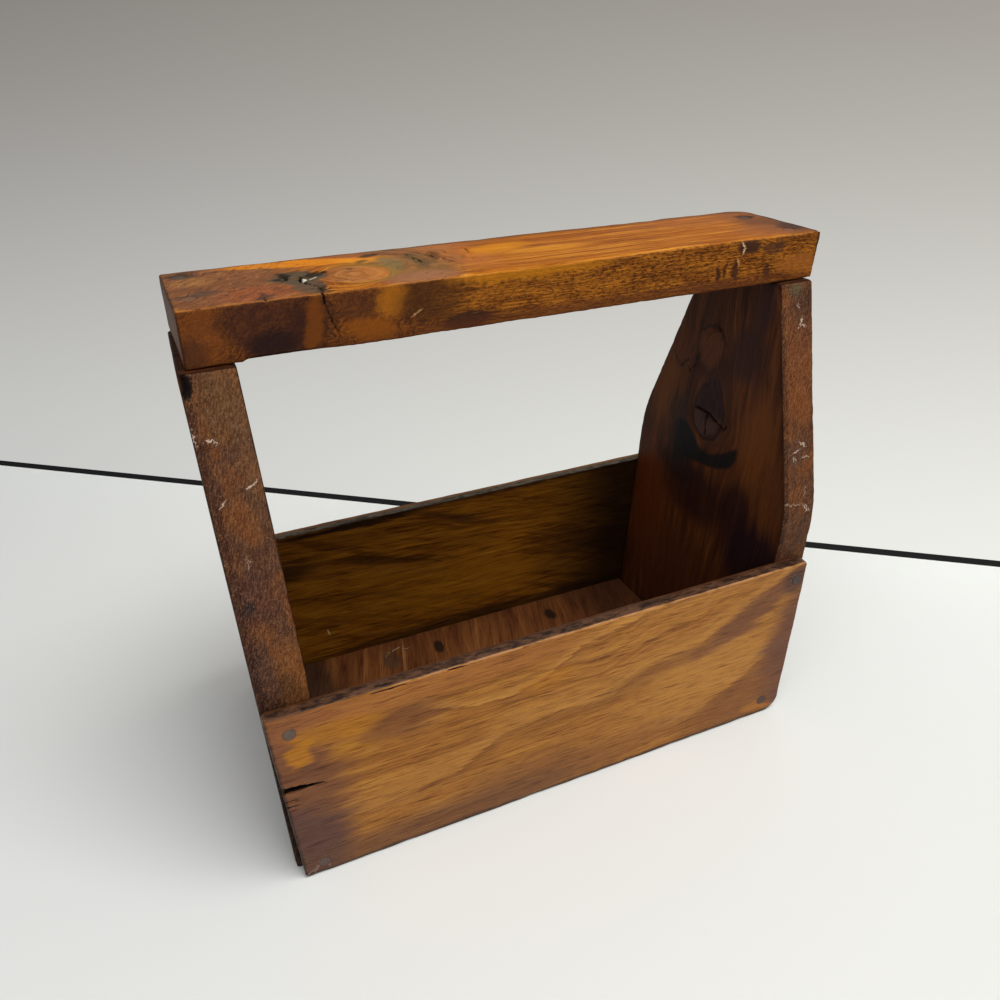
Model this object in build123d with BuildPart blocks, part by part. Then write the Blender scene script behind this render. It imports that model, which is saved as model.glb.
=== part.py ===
from build123d import *
from math import cos, radians, sin, tan
import os

# A nailed wooden tool tote. Two thick end boards stand at the ends of an open tray, taper above soft
# shoulders and carry a flat handle bar. Thin front, rear and floor boards make the tray.
# It is shop-made: both end boards lean out, the left one is turned a little, and the front board's
# ends are cut out of square.
# Frame: X runs along the tray, -Y is the front and +Z is up. The origin lies on the table, below the
# middle of the whole tote.

# Driving dimensions, in millimetres and degrees.
# End boards
foot_length = 274.3  # over both end boards, at the table, along the tray's centre line
post_height = 235.0
post_top_width = 59.4
left_thickness = 22.5
right_thickness = 20.1
left_lean = 2.1  # outwards, from upright
left_turn = 2.3  # rear edge inwards, seen from above
right_lean = 4.7
left_shoulder = 120.5  # height where the left board's taper starts, front and rear
right_front_shoulder = 124.0
right_rear_shoulder = 134.0
shoulder_radius = 60.0
post_edge_radius = 1.2

# Tray
tray_width = 150.0  # over the front and rear boards
side_height = 99.4
side_thickness = 7.0
side_edge_radius = 0.8
side_corner_radius = 3.0
worn_corner_radius = 9.0  # front board, lower right
floor_thickness = 8.4

# How far the front board's ends stop short of the end boards' outer faces
front_left_top_gap = 0.1
front_left_foot_gap = 2.8
front_right_top_gap = 3.6
front_right_foot_gap = 0.3
rear_end_gap = 0.5

# Handle bar
handle_width = 63.0
handle_thickness = 22.8
handle_offset = 4.0  # its centre line stands this far behind the tray's
handle_left_setback = 2.4  # short of the left board's outer face
handle_right_overhang = 3.7  # past the right board's outer face
handle_corner_radius = 4.0
handle_worn_radius = 10.0  # rear right corner
handle_edge_radius = 2.0

# Board nails and the longer handle nails, of the same wire
nail_head_radius = 3.5
nail_head_thickness = 1.2
nail_shank_radius = 1.45
nail_point_length = 4.0
nail_tip_radius = 0.2
board_nail_length = 40.0
handle_nail_length = 64.0
nail_set = 0.4  # heads are driven this far below the wood
nail_clearance = 0.05  # around head and shank
nail_tip_clearance = 0.3
shank_sides = 8  # flats that stand for the round wire, which the wood hides

# Where the board nails go in: in from the outer arris of an end board, and up from the table
top_nail_drop = 11.0  # below the upper edge of the front and rear boards
left_top_nail_inset = 9.8
left_foot_nail_inset = 12.7
left_foot_nail_height = 6.5
right_top_nail_inset = 8.5
right_foot_nail_inset = 12.5
right_foot_nail_height = 9.3

# Where the handle nails go in: in from the middle of an end board's outer face, and from the tray's
# centre line
left_handle_nail_inset = 9.8
right_handle_nail_inset = 7.7
left_handle_nail_front = 10.0
left_handle_nail_rear = 25.5
right_handle_nail_front = 16.0
right_handle_nail_rear = 18.4

# Thinner nails through the end boards into the ends of the floor
floor_nail_head_radius = 1.6
floor_nail_head_thickness = 0.8
floor_nail_shank_radius = 1.0
floor_nail_point_length = 2.5
floor_nail_length = 45.0
floor_nail_spacing = 40.0

# Derived places. The lengths are taken along X, so a face that leans and turns counts as longer.
left_lean_slope = tan(radians(left_lean)) / cos(radians(left_turn))
left_turn_slope = tan(radians(left_turn))
right_lean_slope = tan(radians(right_lean))
left_foot = (post_height * left_lean_slope + post_top_width / 2 * left_turn_slope) / 2 - (
    foot_length + post_height * right_lean_slope + handle_right_overhang
) / 2
right_foot = left_foot + foot_length
front = -tray_width / 2
rear = tray_width / 2
inner_half = tray_width / 2 - side_thickness
top_nail_height = side_height - top_nail_drop


def left_outer(height, y=0):
    """X of the left board's outer face, at a height and a distance behind the centre line."""
    return left_foot - height * left_lean_slope + y * left_turn_slope


def left_inner(height, y=0):
    across = cos(radians(left_lean)) * cos(radians(left_turn))
    return left_outer(height, y) + left_thickness / across


def right_outer(height):
    return right_foot + height * right_lean_slope


def right_inner(height):
    return right_outer(height) - right_thickness / cos(radians(right_lean))


# Where each end board's profile is drawn: upright, its X pointing into the tray from the outer foot
left_profile = Plane(
    (left_foot, 0, 0),
    x_dir=(cos(radians(left_turn)), -sin(radians(left_turn)), 0),
    z_dir=(-sin(radians(left_turn)), -cos(radians(left_turn)), 0),
)
right_profile = Plane((right_foot, 0, 0), x_dir=(-1, 0, 0), z_dir=(0, 1, 0))


# Each nail is placed by the plane of the wood where it goes in, whose normal points out of the wood.
def front_spot(x, height):
    return Plane((x, front, height), z_dir=(0, -1, 0))


def rear_spot(x, height):
    return Plane((x, rear, height), z_dir=(0, 1, 0))


def handle_spot(x, y):
    return Plane((x, y, post_height + handle_thickness), z_dir=(0, 0, 1))


left_front_spots = [
    front_spot(left_outer(height, -inner_half) + inset, height)
    for height, inset in (
        (top_nail_height, left_top_nail_inset),
        (left_foot_nail_height, left_foot_nail_inset),
    )
]
right_front_spots = [
    front_spot(right_outer(top_nail_height) - right_top_nail_inset, top_nail_height),
    front_spot(right_outer(right_foot_nail_height) - right_foot_nail_inset, right_foot_nail_height),
]
left_rear_spots = [
    rear_spot(left_outer(height, inner_half) + left_thickness / 2, height)
    for height in (top_nail_height, left_foot_nail_height)
]
right_rear_spots = [
    rear_spot(right_outer(height) - right_thickness / 2, height)
    for height in (top_nail_height, right_foot_nail_height)
]
left_handle_spots = [
    handle_spot(left_outer(post_height) + left_handle_nail_inset, y)
    for y in (-left_handle_nail_front, left_handle_nail_rear)
]
right_handle_spots = [
    handle_spot(right_outer(post_height) - right_handle_nail_inset, y)
    for y in (-right_handle_nail_front, right_handle_nail_rear)
]
# A leaning face stands proudest at the upper side of a nail head, and a turned one at its front
# side, so the spot is taken there.
floor_nail_height = floor_thickness / 2
floor_nail_top = floor_nail_height + floor_nail_head_radius
left_floor_spots = [
    Plane(
        (left_outer(floor_nail_top, y - floor_nail_head_radius), y, floor_nail_height),
        z_dir=(-1, 0, 0),
    )
    for y in (-floor_nail_spacing / 2, floor_nail_spacing / 2)
]
right_floor_spots = [
    Plane((right_outer(floor_nail_top), y, floor_nail_height), z_dir=(1, 0, 0))
    for y in (-floor_nail_spacing / 2, floor_nail_spacing / 2)
]


def end_board_outline(front_shoulder, rear_shoulder):
    """An end board seen along X: upright below the shoulders, then a straight taper to the handle."""
    with BuildSketch() as outline:
        with BuildLine():
            Polyline(
                (-inner_half, 0),
                (inner_half, 0),
                (inner_half, rear_shoulder),
                (post_top_width / 2, post_height),
                (-post_top_width / 2, post_height),
                (-inner_half, front_shoulder),
                close=True,
            )
        make_face()
        for shoulder in ((-inner_half, front_shoulder), (inner_half, rear_shoulder)):
            fillet(outline.vertices().sort_by_distance(shoulder)[0], radius=shoulder_radius)
    return outline.sketch


def leaning_board(lean, thickness):
    """An end board seen along its faces: a slab that leans out, with its foot and top cut level."""
    lean_out = post_height * tan(radians(lean))
    foot_thickness = thickness / cos(radians(lean))
    with BuildSketch() as slab:
        with BuildLine():
            Polyline(
                (0, 0),
                (foot_thickness, 0),
                (foot_thickness - lean_out, post_height),
                (-lean_out, post_height),
                close=True,
            )
        make_face()
    return slab.sketch


def upright_arrises(board):
    """The long edges of a board's two broad faces, without those at its foot and its top."""
    broad_faces = board.faces().sort_by(Axis.X)
    edges = broad_faces[0].edges() + broad_faces[-1].edges()
    return edges.filter_by(lambda edge: 0 < edge.center().Z < post_height)


def side_board_outline(left_top, left_low, right_low, right_top, low_right_radius):
    """A front or rear board seen along Y, with eased corners."""
    corners = [(left_top, side_height), (left_low, 0), (right_low, 0), (right_top, side_height)]
    radii = [side_corner_radius, side_edge_radius, low_right_radius, side_corner_radius]
    with BuildSketch() as outline:
        with BuildLine():
            Polyline(*corners, close=True)
        make_face()
        for corner, radius in zip(corners, radii):
            fillet(outline.vertices().sort_by_distance(corner)[0], radius=radius)
    return outline.sketch


def nail(head_radius, head_thickness, shank_radius, point_length, length):
    """A wire nail: the top of its round head lies at the origin, and it points down -Z."""
    with BuildPart() as wire_nail:
        Cylinder(head_radius, head_thickness, align=(Align.CENTER, Align.CENTER, Align.MAX))
        with BuildSketch(Plane.XY.offset(-head_thickness)):
            RegularPolygon(shank_radius, shank_sides)
        extrude(amount=head_thickness + point_length - length)
        with BuildSketch(Plane.XY.offset(point_length - length)):
            RegularPolygon(shank_radius, shank_sides)
        with BuildSketch(Plane.XY.offset(-length)):
            RegularPolygon(nail_tip_radius, shank_sides)
        loft(ruled=True)
    return wire_nail.part


def nail_hole(head_radius, head_thickness, shank_radius, point_length, length):
    """What a driven nail leaves in the wood: the nail with its clearances, from the wood's face down."""
    return nail(
        head_radius + nail_clearance,
        nail_set + head_thickness,
        shank_radius + nail_clearance,
        point_length,
        nail_set + length + nail_tip_clearance,
    )


def set_spots(spots):
    """Where the tops of the nail heads lie, set below the wood."""
    return [spot.offset(-nail_set) for spot in spots]


os.makedirs("parts", exist_ok=True)

# The three kinds of nail, and the hole that each leaves in every piece that it passes through
thick_wire = (nail_head_radius, nail_head_thickness, nail_shank_radius, nail_point_length)
thin_wire = (
    floor_nail_head_radius,
    floor_nail_head_thickness,
    floor_nail_shank_radius,
    floor_nail_point_length,
)
board_nail = nail(*thick_wire, board_nail_length)
board_nail_hole = nail_hole(*thick_wire, board_nail_length)
handle_nail = nail(*thick_wire, handle_nail_length)
handle_nail_hole = nail_hole(*thick_wire, handle_nail_length)
floor_nail = nail(*thin_wire, floor_nail_length)
floor_nail_hole = nail_hole(*thin_wire, floor_nail_length)

# The end boards: the outline drawn along X is cut back to a leaning slab, then bored for nails.
with BuildPart() as left_end_board:
    with BuildSketch(Plane.YZ):
        add(end_board_outline(left_shoulder, left_shoulder))
    extrude(amount=foot_length, both=True)
    with BuildSketch(left_profile):
        add(leaning_board(left_lean, left_thickness))
    extrude(amount=tray_width, both=True, mode=Mode.INTERSECT)
    fillet(upright_arrises(left_end_board), radius=post_edge_radius)
    with Locations(left_front_spots + left_rear_spots):
        add(board_nail_hole, mode=Mode.SUBTRACT)
    with Locations(left_handle_spots):
        add(handle_nail_hole, mode=Mode.SUBTRACT)
    with Locations(left_floor_spots):
        add(floor_nail_hole, mode=Mode.SUBTRACT)
left_end_board.part.label = "left_end_board"
export_step(left_end_board.part, "parts/left_end_board.step")

with BuildPart() as right_end_board:
    with BuildSketch(Plane.YZ):
        add(end_board_outline(right_front_shoulder, right_rear_shoulder))
    extrude(amount=foot_length, both=True)
    with BuildSketch(right_profile):
        add(leaning_board(right_lean, right_thickness))
    extrude(amount=tray_width, both=True, mode=Mode.INTERSECT)
    fillet(upright_arrises(right_end_board), radius=post_edge_radius)
    with Locations(right_front_spots + right_rear_spots):
        add(board_nail_hole, mode=Mode.SUBTRACT)
    with Locations(right_handle_spots):
        add(handle_nail_hole, mode=Mode.SUBTRACT)
    with Locations(right_floor_spots):
        add(floor_nail_hole, mode=Mode.SUBTRACT)
right_end_board.part.label = "right_end_board"
export_step(right_end_board.part, "parts/right_end_board.step")

# The tray's sides, nailed to the front and rear edges of the end boards
with BuildPart() as front_board:
    with BuildSketch(Plane.XZ.offset(-front)):
        add(
            side_board_outline(
                left_outer(side_height, -inner_half) + front_left_top_gap,
                left_outer(0, -inner_half) + front_left_foot_gap,
                right_outer(0) - front_right_foot_gap,
                right_outer(side_height) - front_right_top_gap,
                worn_corner_radius,
            )
        )
    extrude(amount=-side_thickness)
    fillet(front_board.faces().sort_by(Axis.Y)[0].edges(), radius=side_edge_radius)
    with Locations(left_front_spots + right_front_spots):
        add(board_nail_hole, mode=Mode.SUBTRACT)
front_board.part.label = "front_board"
export_step(front_board.part, "parts/front_board.step")

with BuildPart() as rear_board:
    with BuildSketch(Plane.XZ.offset(-rear)):
        add(
            side_board_outline(
                left_outer(side_height, inner_half) + rear_end_gap,
                left_outer(0, inner_half) + rear_end_gap,
                right_outer(0) - rear_end_gap,
                right_outer(side_height) - rear_end_gap,
                side_corner_radius,
            )
        )
    extrude(amount=side_thickness)
    fillet(rear_board.faces().sort_by(Axis.Y)[-1].edges(), radius=side_edge_radius)
    with Locations(left_rear_spots + right_rear_spots):
        add(board_nail_hole, mode=Mode.SUBTRACT)
rear_board.part.label = "rear_board"
export_step(rear_board.part, "parts/rear_board.step")

# The floor fits between all four, its ends bevelled to the end boards
with BuildPart() as floor_board:
    with BuildSketch(Plane.XY):
        with BuildLine():
            Polyline(
                (left_outer(0), -inner_half),
                (right_outer(0), -inner_half),
                (right_outer(0), inner_half),
                (left_outer(0), inner_half),
                close=True,
            )
        make_face()
    extrude(amount=floor_thickness)
    for foot, profile, lean in (
        (left_inner(0), left_profile, left_lean),
        (right_inner(0), right_profile, right_lean),
    ):
        inwards = profile.x_dir * cos(radians(lean)) + profile.y_dir * sin(radians(lean))
        split(bisect_by=Plane((foot, 0, 0), z_dir=inwards), keep=Keep.TOP)
    with Locations(left_floor_spots + right_floor_spots):
        add(floor_nail_hole, mode=Mode.SUBTRACT)
floor_board.part.label = "floor_board"
export_step(floor_board.part, "parts/floor_board.step")

# The handle bar lies flat on the tops of the end boards
handle_left = left_outer(post_height) + handle_left_setback
handle_right = right_outer(post_height) + handle_right_overhang
handle_rear = handle_offset + handle_width / 2
with BuildPart() as handle_bar:
    with BuildSketch(Plane.XY.offset(post_height)) as handle_plan:
        with Locations(((handle_left + handle_right) / 2, handle_offset)):
            Rectangle(handle_right - handle_left, handle_width)
        corners = handle_plan.vertices().sort_by_distance((handle_right, handle_rear))
        fillet(corners[0], radius=handle_worn_radius)
        fillet(corners[1:], radius=handle_corner_radius)
    extrude(amount=handle_thickness)
    flat_faces = handle_bar.faces().sort_by(Axis.Z)
    fillet(flat_faces[0].edges() + flat_faces[-1].edges(), radius=handle_edge_radius)
    with Locations(left_handle_spots + right_handle_spots):
        add(handle_nail_hole, mode=Mode.SUBTRACT)
handle_bar.part.label = "handle_bar"
export_step(handle_bar.part, "parts/handle_bar.step")

# The nails, driven home
with BuildPart() as front_board_nails:
    with Locations(set_spots(left_front_spots + right_front_spots)):
        add(board_nail)
front_board_nails.part.label = "front_board_nails"
export_step(front_board_nails.part, "parts/front_board_nails.step")

with BuildPart() as rear_board_nails:
    with Locations(set_spots(left_rear_spots + right_rear_spots)):
        add(board_nail)
rear_board_nails.part.label = "rear_board_nails"
export_step(rear_board_nails.part, "parts/rear_board_nails.step")

with BuildPart() as handle_nails:
    with Locations(set_spots(left_handle_spots + right_handle_spots)):
        add(handle_nail)
handle_nails.part.label = "handle_nails"
export_step(handle_nails.part, "parts/handle_nails.step")

with BuildPart() as floor_nails:
    with Locations(set_spots(left_floor_spots + right_floor_spots)):
        add(floor_nail)
floor_nails.part.label = "floor_nails"
export_step(floor_nails.part, "parts/floor_nails.step")
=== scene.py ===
# %% [markdown]
# # A wooden tool tote, dressed over its CAD frame
# The tote is a shop-made open tray. Two thick end boards stand at its ends, taper above soft
# shoulders and carry a flat handle bar. Every board is nailed, stained brown and varnished, and
# years of use have rounded, split and scratched it. The CAD model comes first: it fixes where each
# board is, and nothing below may move it.

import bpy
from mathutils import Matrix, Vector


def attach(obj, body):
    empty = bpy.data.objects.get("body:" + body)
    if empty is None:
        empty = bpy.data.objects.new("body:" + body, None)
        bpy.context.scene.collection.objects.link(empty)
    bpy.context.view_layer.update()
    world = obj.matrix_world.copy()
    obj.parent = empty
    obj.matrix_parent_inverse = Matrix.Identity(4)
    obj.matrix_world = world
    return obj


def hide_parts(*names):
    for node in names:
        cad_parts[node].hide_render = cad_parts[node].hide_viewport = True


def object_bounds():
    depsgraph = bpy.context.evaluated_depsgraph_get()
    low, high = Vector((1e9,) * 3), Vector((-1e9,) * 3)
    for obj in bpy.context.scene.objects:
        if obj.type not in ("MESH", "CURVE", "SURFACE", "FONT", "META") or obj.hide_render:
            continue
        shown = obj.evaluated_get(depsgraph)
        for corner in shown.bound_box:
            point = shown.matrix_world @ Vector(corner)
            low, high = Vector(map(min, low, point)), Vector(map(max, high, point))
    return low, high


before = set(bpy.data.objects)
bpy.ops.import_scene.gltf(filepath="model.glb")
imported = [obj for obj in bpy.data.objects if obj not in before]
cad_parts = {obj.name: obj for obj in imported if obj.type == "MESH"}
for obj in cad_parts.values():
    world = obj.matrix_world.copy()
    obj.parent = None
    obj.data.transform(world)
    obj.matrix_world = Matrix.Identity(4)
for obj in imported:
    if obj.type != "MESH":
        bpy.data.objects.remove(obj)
cad_low, cad_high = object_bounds()
print("CAD box", [round(c, 4) for c in (*cad_low, *cad_high)])

# Marks along X are measured from a zero that lies this far, in mm, from the CAD's own
datum = cad_high[0] * 1000 - 152.54

import math

import bpy
import bmesh
from mathutils import Euler, Matrix, Vector, noise

# %% [markdown]
# ## The camera
# The tote is seen from the front left and above, from about half a metre away. A camera could be
# turned by eye until the picture looks right. Here its place, turn and lens were fitted to the
# corners of the boards, so that each board lands where the photograph shows it.

# %% Camera
camera_data = bpy.data.cameras.new("camera")
camera_data.sensor_width = 36
camera_data.lens = 30.947
camera_data.clip_start, camera_data.clip_end = 0.02, 20
camera = bpy.data.objects.new("camera", camera_data)
camera.location = (-0.16731 + datum / 1000, -0.35653, 0.34755)
camera.rotation_euler = Euler([math.radians(turn) for turn in (61.122, 0.749, -24.229)])
bpy.context.scene.collection.objects.link(camera)
bpy.context.scene.camera = camera
bpy.context.scene.view_settings.view_transform = "Standard"
print("camera stands", round(camera.location.length, 3), "m from the tray's middle")

# %% [markdown]
# ## Writing materials
# A node tree is easier to read as sums than as boxes and wires. `Socket` wraps a node's output, and
# Python's operators on it add Math nodes. `Finish` holds one material and adds any other node: the
# node's settings are set first, and then its inputs. Both work in millimetres, read from Object
# coordinates, so that a stain can be put where a ruler on the real board would find it.

# %% Sockets with arithmetic
class Socket:
    """A node's output. Arithmetic on it adds Math nodes."""

    def __init__(self, finish, output):
        self.finish, self.output = finish, output

    def math(self, operation, *values):
        return self.finish.node("ShaderNodeMath", {"operation": operation}, dict(enumerate(values)))

    def __add__(self, other):
        return self.math("ADD", self, other)

    __radd__ = __add__

    def __sub__(self, other):
        return self.math("SUBTRACT", self, other)

    def __rsub__(self, other):
        return self.math("SUBTRACT", other, self)

    def __mul__(self, other):
        return self.math("MULTIPLY", self, other)

    __rmul__ = __mul__

    def __truediv__(self, other):
        return self.math("DIVIDE", self, other)

    def __rtruediv__(self, other):
        return self.math("DIVIDE", other, self)

    def above(self, other):
        return self.math("MAXIMUM", self, other)

    def size(self):
        return self.math("ABSOLUTE", self)

    def fade(self, start, end):
        """0 up to start, 1 from end on, and smooth between them. The start may be the larger."""
        inputs = {"Value": self, "From Min": start, "From Max": end}
        settings = {"interpolation_type": "SMOOTHSTEP"}
        return self.finish.node("ShaderNodeMapRange", settings, inputs)


# %% One material and its nodes
def tint(red, green, blue):
    """A colour as a screen shows it, 0 to 255, made linear for a shader."""
    return tuple(
        c / 12.92 if c <= 0.04045 else ((c + 0.055) / 1.055) ** 2.4
        for c in (red / 255, green / 255, blue / 255)
    ) + (1,)


class Finish:
    """One material being written."""

    def __init__(self, name):
        self.material = bpy.data.materials.new(name)
        self.material.use_nodes = True
        self.tree = self.material.node_tree
        self.tree.nodes.clear()
        metres = self.node("ShaderNodeTexCoord", output="Object")
        millimetres = self.vector("SCALE", metres, Scale=1000)
        self.place = self.vector("SUBTRACT", millimetres, (datum, 0, 0))
        self.x, self.y, self.z = self.parts(self.place)

    def node(self, kind, settings=None, inputs=None, output=0):
        made = self.tree.nodes.new(kind)
        for key, value in (settings or {}).items():
            if key == "stops":
                ramp = made.color_ramp
                while len(ramp.elements) < len(value):
                    ramp.elements.new(1)
                for element, (position, colour) in zip(ramp.elements, value):
                    element.position = position
                    element.color = colour if isinstance(colour, tuple) else (colour,) * 3 + (1,)
            elif key == "interpolate":
                made.color_ramp.interpolation = value
            else:
                setattr(made, key, value)
        for key, value in (inputs or {}).items():
            if isinstance(value, Socket):
                self.tree.links.new(value.output, made.inputs[key])
            else:
                made.inputs[key].default_value = value
        return Socket(self, made.outputs[output]) if made.outputs else None

    def vector(self, operation, *values, output=0, **named):
        inputs = {**dict(enumerate(values)), **named}
        return self.node("ShaderNodeVectorMath", {"operation": operation}, inputs, output)

    def parts(self, vector):
        made = self.node("ShaderNodeSeparateXYZ", inputs={0: vector}).output.node
        return [Socket(self, made.outputs[axis]) for axis in range(3)]

    def at(self, x, y, z=0.0):
        return self.node("ShaderNodeCombineXYZ", inputs={0: x, 1: y, 2: z})

    def noise(self, place, detail=2.0, roughness=0.5):
        """Soft noise from 0 to 1, a unit across. A place is a vector, or its two or three parts."""
        place = self.at(*place) if isinstance(place, tuple) else place
        inputs = {"Vector": place, "Scale": 1.0, "Detail": detail, "Roughness": roughness}
        return self.node("ShaderNodeTexNoise", inputs=inputs)

    def mix(self, share, first, second, blend="MIX"):
        """Mixes colours. One of three numbers is as a screen shows it, and is made linear."""
        plain = [c if isinstance(c, Socket) or len(c) == 4 else tint(*c) for c in (first, second)]
        first, second = plain
        settings = {"data_type": "RGBA", "blend_type": blend}
        return self.node("ShaderNodeMix", settings, {0: share, 6: first, 7: second}, output=2)

    def attribute(self, name):
        return self.node("ShaderNodeAttribute", {"attribute_name": name}, output=2)

    def curve(self, along, *stops):
        """A smooth line drawn over a board: stops are (place along, height), in mm."""
        start, end = stops[0][0], stops[-1][0]
        low, high = min(h for _, h in stops), max(h for _, h in stops)
        stops = [((p - start) / (end - start), (h - low) / (high - low)) for p, h in stops]
        settings = {"stops": stops, "interpolate": "CARDINAL"}
        share = (along - start) / (end - start)
        return self.node("ShaderNodeValToRGB", settings, {0: share}) * (high - low) + low

    def spot(self, place, middle, size, turn=(0, 0, 0), soft=0.6):
        """1 inside an ellipsoid and 0 outside, with a soft rim that is a share of its size."""
        turn = [math.radians(angle) for angle in turn]
        inputs = {"Vector": place, "Location": middle, "Rotation": turn, "Scale": size}
        inside = self.node("ShaderNodeMapping", {"vector_type": "TEXTURE"}, inputs)
        length = self.vector("LENGTH", inside, output=1)
        return length.fade(1 + soft / 2, 1 - soft / 2)


# %% [markdown]
# ## The stage and the light
# The tote stands on a white table in front of a pale grey wall, in soft light from above. Where the
# table ends, a dark sheet paints the shadow in the gap. A brighter lamp could make the background
# pale, but it would bleach the wood too. Here the sheets' own colours set how pale they are, so the
# lamps can stay at the level where a colour renders as it is written. The wall's colour carries
# painted shade and light: it is darker towards the top and brighter to the right.

# %% Floor and wall
def clear_from_behind(finish, shader):
    """A sheet of the stage is clear from behind, so that it hides the tote in no view."""
    behind = finish.node("ShaderNodeNewGeometry", output="Backfacing")
    clear = finish.node("ShaderNodeBsdfTransparent")
    shader = finish.node("ShaderNodeMixShader", inputs={0: behind, 1: shader, 2: clear})
    finish.node("ShaderNodeOutputMaterial", inputs={0: shader})


def table_finish():
    finish = Finish("white_table")
    inputs = {"Base Color": tint(229, 231, 229), "Roughness": 0.5}
    shader = finish.node("ShaderNodeBsdfPrincipled", inputs=inputs)
    clear_from_behind(finish, shader)
    return finish.material


def backdrop_finish(name, low_colour, high_colour, height):
    """A matt surface that the camera and gloss see glowing in its own colour, with painted shade
    and light that drift with height and across the room.
    """
    finish = Finish(name)
    shade = finish.mix(finish.z.fade(-40, height), low_colour, high_colour)
    # The room is brighter on the right
    to_the_right = (finish.x * 0.8 - finish.y * 0.6).fade(-700, 500)
    light_here = finish.mix(to_the_right, (0.75, 0.75, 0.76, 1), (1.2, 1.2, 1.18, 1))
    shade = finish.mix(1.0, shade, light_here, "MULTIPLY")
    matt = finish.node("ShaderNodeBsdfDiffuse", inputs={"Color": shade})
    shown = finish.node("ShaderNodeEmission", inputs={"Color": shade, "Strength": 1.0})
    seen_by_camera = finish.node("ShaderNodeLightPath", output="Is Camera Ray")
    seen_in_gloss = finish.node("ShaderNodeLightPath", output="Is Glossy Ray")
    inputs = {0: seen_by_camera.above(seen_in_gloss), 1: matt, 2: shown}
    shader = finish.node("ShaderNodeMixShader", inputs=inputs)
    clear_from_behind(finish, shader)
    return finish.material


def stage_sheet(name, width, depth, matrix, material):
    bm = bmesh.new()
    bmesh.ops.create_grid(bm, x_segments=1, y_segments=1, size=0.5)
    bmesh.ops.scale(bm, vec=(width, depth, 1), verts=bm.verts)
    bmesh.ops.transform(bm, matrix=matrix, verts=bm.verts)
    mesh = bpy.data.meshes.new(name)
    bm.to_mesh(mesh)
    bm.free()
    mesh.materials.append(material)
    sheet = bpy.data.objects.new(name, mesh)
    bpy.context.scene.collection.objects.link(sheet)
    return sheet


# The table's rear edge runs past this point, at this turn from the tote's length.
table_edge = Vector((0.011, 0.245, 0))
edge_turn = math.radians(-37)
along_edge = Matrix.Translation(table_edge) @ Matrix.Rotation(edge_turn, 4, "Z")
white_table = table_finish()
# The wall's colour is painted shade: pale by the table, darker towards the top
grey_wall = backdrop_finish("grey_wall", (224, 224, 220), (128, 121, 114), 520)
# A painted shadow: a dark sheet in the gap between table and wall
painted_gap_shadow = backdrop_finish("painted_gap_shadow", (34, 34, 34), (34, 34, 34), 1)
stage_sheet("table", 4, 3, along_edge @ Matrix.Translation((0, -1.5, 0)), white_table)
stage_sheet("gap", 6, 0.03, along_edge @ Matrix.Translation((0, 0.015, -0.004)), painted_gap_shadow)
upright = Matrix.Rotation(math.radians(90), 4, "X")
behind_gap = Matrix.Translation((0, 0.009, 1.5))
stage_sheet("wall", 6, 3, along_edge @ behind_gap @ upright, grey_wall)

# %% Lamps and world
def soft_lamp(name, place, aim, width, height, power, colour):
    light = bpy.data.lights.new(name, "AREA")
    light.shape, light.size, light.size_y = "RECTANGLE", width, height
    light.energy, light.color = power, colour
    lamp = bpy.data.objects.new(name, light)
    lamp.location = place
    lamp.rotation_euler = (Vector(aim) - Vector(place)).to_track_quat("-Z", "Y").to_euler()
    bpy.context.scene.collection.objects.link(lamp)
    return lamp


tray_middle = (0, 0, 0.1)
soft_lamp("ceiling_lamp", (0.25, -0.5, 1.5), tray_middle, 1.0, 0.8, 20, (1, 0.985, 0.96))
soft_lamp("side_lamp", (-1.2, -0.9, 0.9), tray_middle, 0.9, 0.9, 5.5, (1, 1, 1))
world = bpy.data.worlds.new("world")
world.use_nodes = True
bpy.context.scene.world = world
sky = world.node_tree.nodes["Background"].inputs
sky["Color"].default_value = (0.95, 0.97, 1, 1)
sky["Strength"].default_value = 0.36

# %% [markdown]
# ## Making a board
# A board could be a bevelled box with a bump map, but its wear would then be only painted on. Here
# a block gets a grid of edge loops, closer together where a split or a nail needs them, and every
# point of the grid is then moved a little: towards the middle at the arrises, which rounds them,
# and inwards along its normal where the wood is worn, sawn, chipped or split. How deep each point
# was cut is kept in an attribute, so that the material can paint shade into the cuts.

# %% Edge loops and a gridded block
def lines(start, stop, step, *fine):
    """Places from start to stop, a step apart, and closer inside each (from, to, step) of fine."""
    places = [start]
    while places[-1] < stop - 1e-6:
        here = places[-1]
        gap = min([step] + [near for low, high, near in fine if low - 1e-6 <= here < high - 1e-6])
        ahead = [low for low, _, _ in fine if here + 1e-6 < low < here + gap]
        places.append(min([here + gap, stop, *ahead]))
    return places


def gridded_block(columns, rows, layers):
    """A closed block whose edge loops lie at the given places along X, Y and Z."""
    bm = bmesh.new()
    bmesh.ops.create_cube(bm, size=2)
    for axis, places in enumerate((columns, rows, layers)):
        ends = [(e, e.verts[0].co[axis] - e.verts[1].co[axis]) for e in bm.edges]
        along = [edge for edge, span in ends if abs(span) > 1.5]
        bmesh.ops.subdivide_edges(bm, edges=along, cuts=len(places) - 2)
    for vert in bm.verts:
        for axis, places in enumerate((columns, rows, layers)):
            vert.co[axis] = places[round((vert.co[axis] + 1) / 2 * (len(places) - 1))]
    return bm


# %% Wear
def smooth(share):
    share = min(max(share, 0.0), 1.0)
    return share * share * (3 - 2 * share)


def rumple(point, size, seed=0):
    """Soft noise from -1 to 1, whose bumps are about `size` mm across. Size may be one per axis."""
    size = (size,) * 3 if isinstance(size, (int, float)) else size
    return noise.noise(Vector([c / s + 7.3 * seed for c, s in zip(point, size)]))


def ease(point, low, high, radius):
    """Rounds a block: the point is brought to radius from the core, which is the block less it."""
    core = Vector([min(max(c, a + radius), b - radius) for c, a, b in zip(point, low, high)])
    out = point - core
    return core + out.normalized() * min(out.length, radius)


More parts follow.
